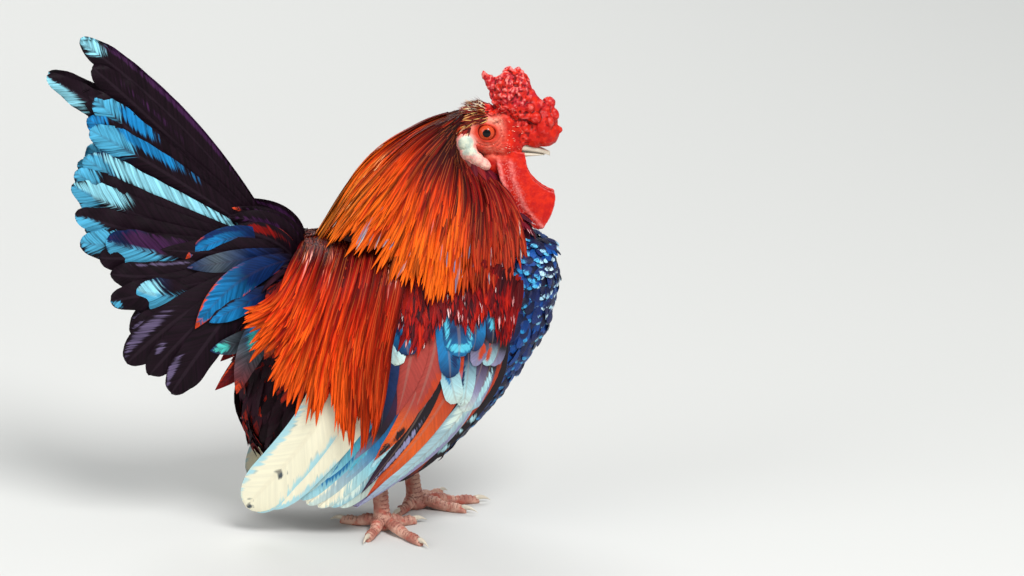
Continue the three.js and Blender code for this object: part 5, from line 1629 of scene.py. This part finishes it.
TAIL_COVERTS = [
    ((-17, 16, 170), (-44, 28, 146), (-74, 31, 124), 17, (INK,), ((DUSK_SHEEN, 0.95, 0.04, 0.0, 0.5),)),
    ((-17, 24, 144), (-32, 32, 122), (-58, 34, 96), 16,
     (INK, INK, INK, BLOOD), ((RUST, 0.85, 0.2, 0.8, 0.1),)),
    ((-14, 14, 184), (-48, 22, 184), (-92, 24, 186), 20, (INK,), ()),
    ((-14, 16, 176), (-48, 24, 168), (-86, 27, 162), 20, (INK,), ()),
    ((-5, 5, 176), (-15, 9, 197), (-47, 10, 210), 16,
     (INK,), ((RUST, 1.0, 0.05, 0.0, 1.0), (PLUM, 0.6, 0.3, 0.5, 0.2))),
    ((-5, 8, 174), (-20, 13, 197), (-50, 15, 205), 18, (INK,), ((PLUM, 0.6, 0.3, 0.0, 0.4),)),
    ((-5, 11, 174), (-24, 17, 192), (-52, 18, 196), 18, (INK,), ((BLOOD, 0.6, 0.3, 0.5, 0.3),)),
    ((-4, 12, 174), (-16, 15, 190), (-30, 18, 201), 12,
     (BLOOD, BRICK, BRICK, RUST), ((tone(226, 150, 136), 0.5, 0.3, 0, 0.2),)),
    ((-16, 12, 188), (-48, 22, 193), (-76, 24, 180), 16,
     (INK, NAVY, BLUE, BLUE), rimmed(RUST, 0.7) + ((NAVY, 0.5, 0.5, 0.8, 0.3),)),
    ((-14, 15, 182), (-46, 25, 179), (-75, 27, 175), 14,
     (INK, NAVY, SLATE, NAVY), ((DUSK_SHEEN, 0.97, 0.04, 0.0, 0.5),)),
    ((-17, 20, 138), (-41, 33, 128), (-61, 34, 122), 13,
     (INK, INK, SLATE, NAVY), ((TEAL, 0.78, 0.14, 0.1, 0.8),)),
    ((-17, 22, 162), (-42, 32, 151), (-61, 35, 141), 14,
     (INK, NAVY, BLUE, BLUE), ((INK, 0.7, 0.4, 0.9, 0.3),)),
    ((-9, 18, 178), (-42, 31, 167), (-70, 35, 137), 19,
     (INK, NAVY, BLUE, BLUE), rimmed(RUST, 0.5) + ((NAVY, 0.3, 0.2, 0, 1.0),)),
    ((-6, 30, 160), (-29, 38, 134), (-44, 40, 95), 19,
     (NAVY, NAVY, SLATE, BLOOD),
     ((TEAL, 0.54, 0.09, 0.1, 0.5), (BLUE, 0.3, 0.27, 0.3, 0.70), (RUST, 0.95, 0.05, 0, 1))),
    ((-4, 33, 158), (-14, 41, 140), (-26, 43, 119), 14, (NAVY, BLUE, NAVY, ORANGE), rimmed(RUST, 0.6)),
]


def space_feathers(name, table, side, shape, seed, roll, split, ruffle):
    """One piece of large feathers from a table of roots, middles and tips in space."""
    marks = np.array([row[:3] for row in table], float)
    s = places_along(QUILL_RINGS, QUILL_CROWD)
    line = arcs(marks, s)
    line[..., 0] += FORWARD
    line[..., 1] *= side
    out = np.broadcast_to([0.0, side, 0.0], line.shape)
    half = taper(shape, s)[None] * np.array([row[3] for row in table], float)[:, None] / 2
    paint = painted([row[4:] for row in table], s)
    bake = np.linspace((0.1, 0.06 + 0.02 * side), (0.9, 0.06 + 0.02 * side), len(table))
    looks = {"camber": 0.12, "roll": roll, "split": split, "ruffle": ruffle}
    return grow_vanes(name, line, out, half, paint, bake, seed, hand=-side, **looks)


blade_finish = plumage_finish("blade", 0.9, 0.8, 0.22, (0.05, 0.03, 0.045), 0.5, specular_ior_level=0.10)
for side, label in SIDES:
    groups = {
        "blades": (TAIL_BLADES, PADDLE, 51, 0.06, 0.035, 1.8),
        "tail_coverts": (TAIL_COVERTS, SPEAR, 52, 0.05, 0.03, 0.4),
    }
    for kind, (table, shape, seed, roll, split, ruffle) in groups.items():
        piece = space_feathers(f"{kind}_{label}", table, side, shape, seed, roll, split, ruffle)
        piece.data.materials.append(blade_finish)
        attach(piece, "root")
        if kind == "blades":
            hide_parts(f"tail_{label}")


# ---------------------------------------------------------------------------------------------
# Saddle: long narrow pointed feathers that hang from the back over the wings and the root of the
# tail, dark red above with pinkish shafts, bright orange at their tips.

SADDLE = [
    [[68, 2, 198], [32, 2, 192], [0, 2, 187]],
    [[62, 50, 174], [26, 47, 173], [-4, 34, 177]],
    [[52, 64, 126], [12, 62, 131], [-19, 48, 158]],
    [[46, 65, 83], [29, 65, 71], [3, 62, 84], [-21, 55, 113], [-37, 47, 149]],
]
SADDLE_HEART = (20, 0, 110)
HACKLE_RINGS = 12
HACKLE_REACH = (0.22, 0.38)
# painted shade and light across a strand: how bright it is at its left edge, middle and right edge
STRAND_SHADING = np.array([0.42, 1.2, 0.55])[None, None, :, None]
HACKLE = (0.5, 0.3, 0.4, 0.9)
# strands in all on each side, how they are spread across the sheet, and how the locks slant down it
SADDLE_STRANDS = 1250
CAPE_STRANDS = 1700
EVEN_SPREAD = 0.61803
LOCK_SLANT = 7.3


def hackles(name, rows, side, heart, count, roots, width, rise, tint, seed, locks, ragged, drift=0.0):
    """One side's narrow feathers on a sheet, drawn together into pointed locks at their tips.

    tint gives colours and glow from places on the sheet. locks: how many there are across it.
    ragged: how far the locks' ends differ, as a share of the sheet's length.
    """
    vary = np.random.default_rng(seed)
    across = (np.arange(count) * EVEN_SPREAD % 1) * 1.04 - 0.02
    root = roots[0] + (roots[1] - roots[0]) * np.sort(vary.random(count))[::-1]
    tip = root + vary.uniform(*HACKLE_REACH, count) * np.clip(1.35 - 0.5 * root, 0.5, 1.4)
    tip = np.minimum(tip, 1.0 + vary.uniform(-0.08, 0.05, count))
    lock = np.floor((across + 0.02) * locks + root * LOCK_SLANT)
    middle = (lock + 0.5 - root * LOCK_SLANT) / locks - 0.02
    # a number from 0 to 1 of its own for each lock, for its length, height and shade
    own = np.sin(lock * 12.9898 + np.floor(root * 5.3) * 78.233) * 43758.5453 % 1
    tip = tip + ragged * (own - 0.6)
    bend = (middle - across) * 0.8 + vary.normal(drift, 0.008, count) + 0.006 * np.sin(lock * 7.7)
    marks = strand_marks(across, root, tip, bend, 0.35)
    s = places_along(HACKLE_RINGS)
    # the upper feathers lie over the lower, but flat where they grow out of the skin
    layer = ((1 - root) * rise[1] * held(0.15 + root / 0.2))[:, None]
    layer = layer + vary.uniform(0, 1.6, (count, 1)) * held(0.3 + 4 * root)[:, None]
    layer = layer + 1.5 * (own[:, None] - 0.5) * s[None] * held(4 * root)[:, None]
    height = rise[0] + layer + 1.0 * np.sin(s * 2.2)[None]
    line, out = on_sheet(rows, marks, s, side, heart, height)
    half = taper(HACKLE, s)[None] * vary.uniform(*width, (count, 1)) / 2
    at = marks[:, None, 0] + (marks[:, None, 2] - marks[:, None, 0]) * s[None, :, None]
    paint = tint(at, s, own, vary)
    bake = np.clip(marks[:, 0] * 0.8 + 0.1, 0, 0.99)
    roll = vary.normal(0, 0.3, count)
    return grow_vanes(
        name, line, out, half, paint, bake, seed + 1, camber=0.25, roll=roll, lay=0.22, hand=-side
    )


SADDLE_HUES = [
    (0, tone(134, 14, 18)),
    (0.25, tone(138, 12, 6)),
    (0.5, tone(180, 24, 4)),
    (0.8, tone(216, 50, 4)),
    (1.05, tone(236, 82, 14)),
]


def saddle_tint(at, s, own, vary):
    """Dark red to orange down the saddle, with pale shafts near the back and a few dark strands."""
    count = len(at)
    across, along = at[..., 0], at[..., 1]
    shade = along + 0.5 * (s[None] - 0.5) + vary.normal(0, 0.1, (count, 1)) + 0.4 * (own[:, None] - 0.6)
    hue = blend(SADDLE_HUES, shade)
    front = np.clip((0.34 - across) / 0.25, 0, 0.75)[..., None]
    hue = hue * (1 - front) + EMBER * 0.8 * front
    dark = (vary.random(count) < 0.32)[:, None, None] * np.clip(1 - along, 0.45, 1)[..., None]
    hue = hue * (1 - 0.7 * dark)
    # painted shade and light: each strand darker towards its covered root, with painted light in its middle
    # and painted shade at its edges
    colour = (hue * (0.35 + 0.8 * s[:, None]))[:, :, None] * STRAND_SHADING
    pale = blend([(0, tone(236, 120, 70)), (1, tone(232, 176, 170))], vary.random(count))
    share = (vary.random(count) < 0.17)[:, None] * held((0.5 - along) / 0.3) * held(s[None] * 3)
    return colour, glowing(pale, share[..., None] * 0.62 * ON_SHAFT)


hackle_finish = plumage_finish("hackle", 0.85, 1.1, 0.25, (0.62, 0.20, 0.04), 0.5, specular_ior_level=0.08)
for side, label in SIDES:
    saddle = hackles(
        f"saddle_{label}", SADDLE, side, SADDLE_HEART, SADDLE_STRANDS, (-0.06, 0.76), (3.2, 5.6),
        (0.4, 4.2), saddle_tint, 61, 24, 0.26, drift=0.01,
    )
    saddle.data.materials.append(hackle_finish)
    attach(saddle, "root")


# ---------------------------------------------------------------------------------------------
# Cape: the hackles of the neck, narrow and pointed, falling from the nape over the shoulders and the
# breast. Dark red near the head, then orange, with golden tips along the back of the neck.

CAPE = [
    [[108, 0, 272.5], [101, 8, 270], [95, 12, 260], [98, 13, 244], [117, 9, 231]],
    [[72, 0, 257.5], [71, 20, 248], [84, 33, 232], [104, 31, 220], [126, 16, 216]],
    [[39, 0, 232.5], [45, 31, 219], [75, 51, 201], [102, 49, 194], [133, 27, 200]],
    [[5, 0, 181], [22, 34, 189], [66, 60, 170], [100, 61, 161], [138, 42, 180]],
]
CAPE_HEART = (98, 0, 200)
SLATE_STRAND = tone(96, 110, 140)
CAPE_HUES = [
    (0, tone(70, 8, 10)),
    (0.15, tone(104, 10, 8)),
    (0.32, tone(150, 24, 4)),
    (0.52, tone(210, 54, 4)),
    (0.9, tone(238, 96, 14)),
]


def cape_tint(at, s, own, vary):
    """Maroon with pale flecks by the head, dark red, then orange, and gold where the nape ends."""
    count = len(at)
    across, along = at[..., 0], at[..., 1]
    shade = along + 0.2 * (s[None] - 0.5) + vary.normal(0, 0.10, (count, 1)) + 0.2 * (own[:, None] - 0.55)
    hue = blend(CAPE_HUES, shade)
    nape = held((0.30 - across) / 0.2) * held((along - 0.45) / 0.35)
    gold = nape[..., None] * vary.uniform(0.0, 0.8, (count, 1, 1))
    hue = hue * (1 - gold) + tone(238, 136, 40) * gold
    front = np.clip((across - 0.66) / 0.16, 0, 0.85)[..., None]
    hue = hue * (1 - front) + tone(142, 12, 16) * front
    dark = (vary.random(count) < 0.15)[:, None, None]
    hue = hue * (1 - 0.6 * dark)
    # painted shade and light: each strand darker towards its covered root, with painted light in its middle
    # and painted shade at its edges
    colour = (hue * (0.55 + 0.55 * s[:, None]))[:, :, None] * STRAND_SHADING
    kind = vary.random(count)
    pale = np.where((kind < 0.5)[:, None], tone(250, 214, 150), tone(244, 150, 70))
    fleck = (vary.random(count) < 0.35)[:, None] * held((0.3 - along) / 0.2) * held(s[None] * 2 - 0.6)
    strand = (vary.random(count) < 0.16)[:, None] * nape
    share = np.maximum(fleck, strand)[..., None] * np.array([0.1, 0.95, 0.1])
    slate = (vary.random(count) < 0.10)[:, None] * held((along - 0.5) / 0.2) * held(s[None] * 2 - 0.5)
    slate = slate[..., None] * np.array([0.0, 0.9, 0.2]) * (across[..., None] > 0.25)
    glow = np.where((slate > share)[..., None], glowing(SLATE_STRAND, slate), glowing(pale, share))
    return colour, glow


for side, label in SIDES:
    cape = hackles(
        f"cape_{label}", CAPE, side, CAPE_HEART, CAPE_STRANDS, (-0.05, 0.74), (2.6, 4.6),
        (0.0, 2.6), cape_tint, 71, 52, 0.12,
    )
    cape.data.materials.append(hackle_finish)
    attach(cape, "root")


# ---------------------------------------------------------------------------------------------
# Throat and rump: pointed maroon feathers down the front of the neck between the halves of the cape,
# and soft dark ones round the root of the tail.


def sprout(place, normal, fall, reach, raised):
    """Centre lines and ways out of feathers laid along a skin from points on it, the way fall points."""
    way = laid_flat(fall, normal)
    line = place[:, None] + way[:, None] * reach + normal[:, None] * (reach * raised - 0.3)
    return line, np.broadcast_to(normal[:, None], line.shape)


def within(value, limits):
    """Where a value is between two limits."""
    return (value > limits[0]) & (value < limits[1])


body_place = of_points(body, "co") / MM
body_normal = of_points(body, "normal")
at_throat = within(body_place[:, 0], (100, 143)) & within(body_place[:, 2], (193, 244))
at_throat &= body_normal[:, 0] > 0.2
at_rump = (body_place[:, 0] < 6) & (body_place[:, 2] > 118) & (body_normal[:, 0] < 0.3)
THROAT_HUES = (tone(70, 10, 34), tone(104, 14, 34), tone(126, 18, 20), tone(88, 10, 26))
RUMP_HUES = (INK, PLUM, tone(60, 10, 16), BLOOD)
# the skin they grow on, number, lengths, widths, way, colours, the share with a pale tip
GROWTHS = {
    "throat_feathers": (at_throat, 520, (13, 20), (4, 6), (0.1, 0, -1), THROAT_HUES, 0.3),
    "rump_feathers": (at_rump, 460, (16, 24), (6, 9), (-0.8, 0, -0.7), RUMP_HUES, 0.0),
}
GROWTH_RINGS = 7
for name, (grown, count, lengths, widths, way, hues, tipped) in GROWTHS.items():
    vary = np.random.default_rng(77)
    picked = vary.choice(np.flatnonzero(grown), count)
    fall = np.array(way) + vary.normal(0, 0.15, (count, 3))
    s = places_along(GROWTH_RINGS)
    reach = vary.uniform(*lengths, (count, 1, 1)) * s[None, :, None]
    line, out = sprout(body_place[picked], body_normal[picked], fall, reach, 0.14)
    half = taper(LANCE, s)[None] * vary.uniform(*widths, (count, 1)) / 2
    colour = all_over(np.array(hues)[vary.integers(0, len(hues), count)], 0.6 + 0.6 * s)
    tip = (vary.random(count) < tipped)[:, None, None] * np.clip(s - 0.7, 0, 0.25)[None, :, None] * 4
    paint = (colour, glowing(tone(228, 190, 190), tip * ON_SHAFT))
    bake = np.stack([body_place[picked, 1] / 200 + 0.5, body_place[picked, 2] / 400], axis=-1)
    roll = vary.normal(0, 0.2, count)
    growth = grow_vanes(name, line, out, half, paint, bake, 78, roll=roll, lay=0.3)
    growth.data.materials.append(bow_finish)
    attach(growth, "root")


# ---------------------------------------------------------------------------------------------
# Bristles: fine hair-like feathers on the back of the head and behind the ears, pale tufts on the nape,
# and sparse short hairs on the red skin between the eye and the comb.

BRISTLE_RINGS = 5
BRISTLE = (0.8, 0.3, 0.3, 0.8)
# where on the head, from the least to the most forward, up and out; number; lengths; widths; way; colours
TUFTS = {
    "crown": (
        ((97, 117), (262, 277), (0, 14)), 1150, (5, 10), (0.35, 0.8), (-1.0, 0.10, -0.25),
        (tone(70, 8, 10), tone(130, 24, 12), tone(150, 50, 20), tone(226, 170, 96)),
    ),
    "ear": (
        ((92, 106), (246, 266), (5, 16)), 420, (6, 11), (0.7, 1.5), (-0.75, 0.15, -0.75),
        (tone(74, 10, 10), tone(140, 24, 12), tone(190, 60, 24), tone(226, 170, 130)),
    ),
    "nape": (
        ((104, 116), (268, 276), (0, 9)), 230, (4, 7), (0.3, 0.55), (-0.9, 0.1, 0.45),
        (tone(250, 238, 200), tone(252, 246, 226), tone(236, 206, 150), tone(250, 240, 210)),
    ),
    "face": (
        ((106, 140), (246, 276), (4, 14)), 200, (1.5, 3.4), (0.2, 0.34), (-0.5, 0.5, 0.2),
        (tone(176, 30, 20), tone(150, 20, 14), tone(240, 160, 130), tone(250, 214, 190)),
    ),
}
# shares of the feathers that have each of a tuft's colours
HUE_SHARES = [0.3, 0.32, 0.22, 0.16]
skin_place = of_points(head, "co") / MM
skin_normal = of_points(head, "normal")
bristle_finish = plumage_finish("bristle", 0.4, 2.0, 0.0, (0.3, 0.1, 0.05), 0.5, specular_ior_level=0.2)
for side, label in SIDES:
    vary = np.random.default_rng(81)
    tufts = []
    for (forward, up, beside), count, lengths, widths, way, colours in TUFTS.values():
        fits = within(skin_place[:, 0] - FORWARD, forward) & within(skin_place[:, 2], up)
        fits &= within(skin_place[:, 1] * side, beside) & (in_ring > 1.35) & (lobe_edge < 0.2)
        picked = vary.choice(np.flatnonzero(fits), count)
        place, normal = skin_place[picked], skin_normal[picked]
        fall = np.array([way[0], way[1] * side, way[2]]) + vary.normal(0, 0.18, place.shape)
        s = places_along(BRISTLE_RINGS)
        reach = vary.uniform(*lengths, (count, 1, 1)) * s[None, :, None]
        line, out = sprout(place, normal, fall, reach, 0.3 if lengths[1] < 5 else 0.1)
        half = taper(BRISTLE, s)[None] * vary.uniform(*widths, (count, 1)) / 2
        hue = np.array(colours)[vary.choice(4, count, p=HUE_SHARES)]
        tufts.append((line, out, half, hue, picked / len(skin_place)))
    line, out, half, hue, root = (np.concatenate(rows) for rows in zip(*tufts))
    colour = all_over(hue, np.ones(BRISTLE_RINGS + 1))
    glow = np.zeros((*colour.shape[:3], 4))
    bake = np.stack([root * 0.99, np.full(len(root), 0.5 + 0.2 * side)], axis=-1)
    bristles = grow_vanes(
        f"bristles_{label}", line, out, half, (colour, glow), bake, 82, lay=0.25, hand=-side
    )
    bristles.data.materials.append(bristle_finish)
    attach(bristles, "root")


# ---------------------------------------------------------------------------------------------
# The stage: a plain pale floor, and soft light from three disks and a pale sky. The camera stands off
# the bird's right side, a little above it.

FLOOR_HALF = 6.0
FLOOR_TONE = (0.62, 0.62, 0.60)
# place, size across and power of each lamp
LAMPS = {
    "key": ((0.9, -1.6, 2.2), 1.3, 78.0),
    "fill": ((-1.8, -1.2, 1.3), 1.8, 20.0),
    "back": ((-0.6, 2.2, 1.8), 1.6, 34.0),
}
LAMPS_AIM = Vector((0, 0, 0.15))
SKY_TONE = (0.86, 0.90, 0.92)
SKY_STRENGTH = 0.42
CAMERA_AIM = Vector(((131.2 + FORWARD) * MM, 0, 154.4 * MM))
CAMERA_RANGE = 3.64
CAMERA_ELEVATION = math.radians(15)

floor_shape = bmesh.new()
bmesh.ops.create_grid(floor_shape, x_segments=1, y_segments=1, size=FLOOR_HALF)
floor = object_from(floor_shape, "floor")
floor_finish = finish("floor", FLOOR_TONE, 0.8)
floor.data.materials.append(floor_finish)

for name, (spot, size, power) in LAMPS.items():
    lamp = bpy.data.lights.new(name, "AREA")
    lamp.shape = "DISK"
    lamp.size = size
    lamp.energy = power
    holder = bpy.data.objects.new(name, lamp)
    holder.location = spot
    holder.rotation_euler = (LAMPS_AIM - Vector(spot)).to_track_quat("-Z", "Y").to_euler()
    bpy.context.scene.collection.objects.link(holder)
world = bpy.data.worlds.new("studio")
world.use_nodes = True
sky = world.node_tree.nodes["Background"].inputs
sky["Color"].default_value = (*SKY_TONE, 1)
sky["Strength"].default_value = SKY_STRENGTH
bpy.context.scene.world = world
bpy.context.scene.view_settings.view_transform = "Standard"

lens = bpy.data.cameras.new("camera")
lens.lens = 200
lens.sensor_width = 36
camera = bpy.data.objects.new("camera", lens)
back_and_up = Vector((0, -math.cos(CAMERA_ELEVATION), math.sin(CAMERA_ELEVATION)))
camera.location = CAMERA_AIM + CAMERA_RANGE * back_and_up
camera.rotation_euler = (CAMERA_AIM - camera.location).to_track_quat("-Z", "Y").to_euler()
bpy.context.scene.collection.objects.link(camera)
bpy.context.scene.camera = camera

bpy.context.view_layer.update()
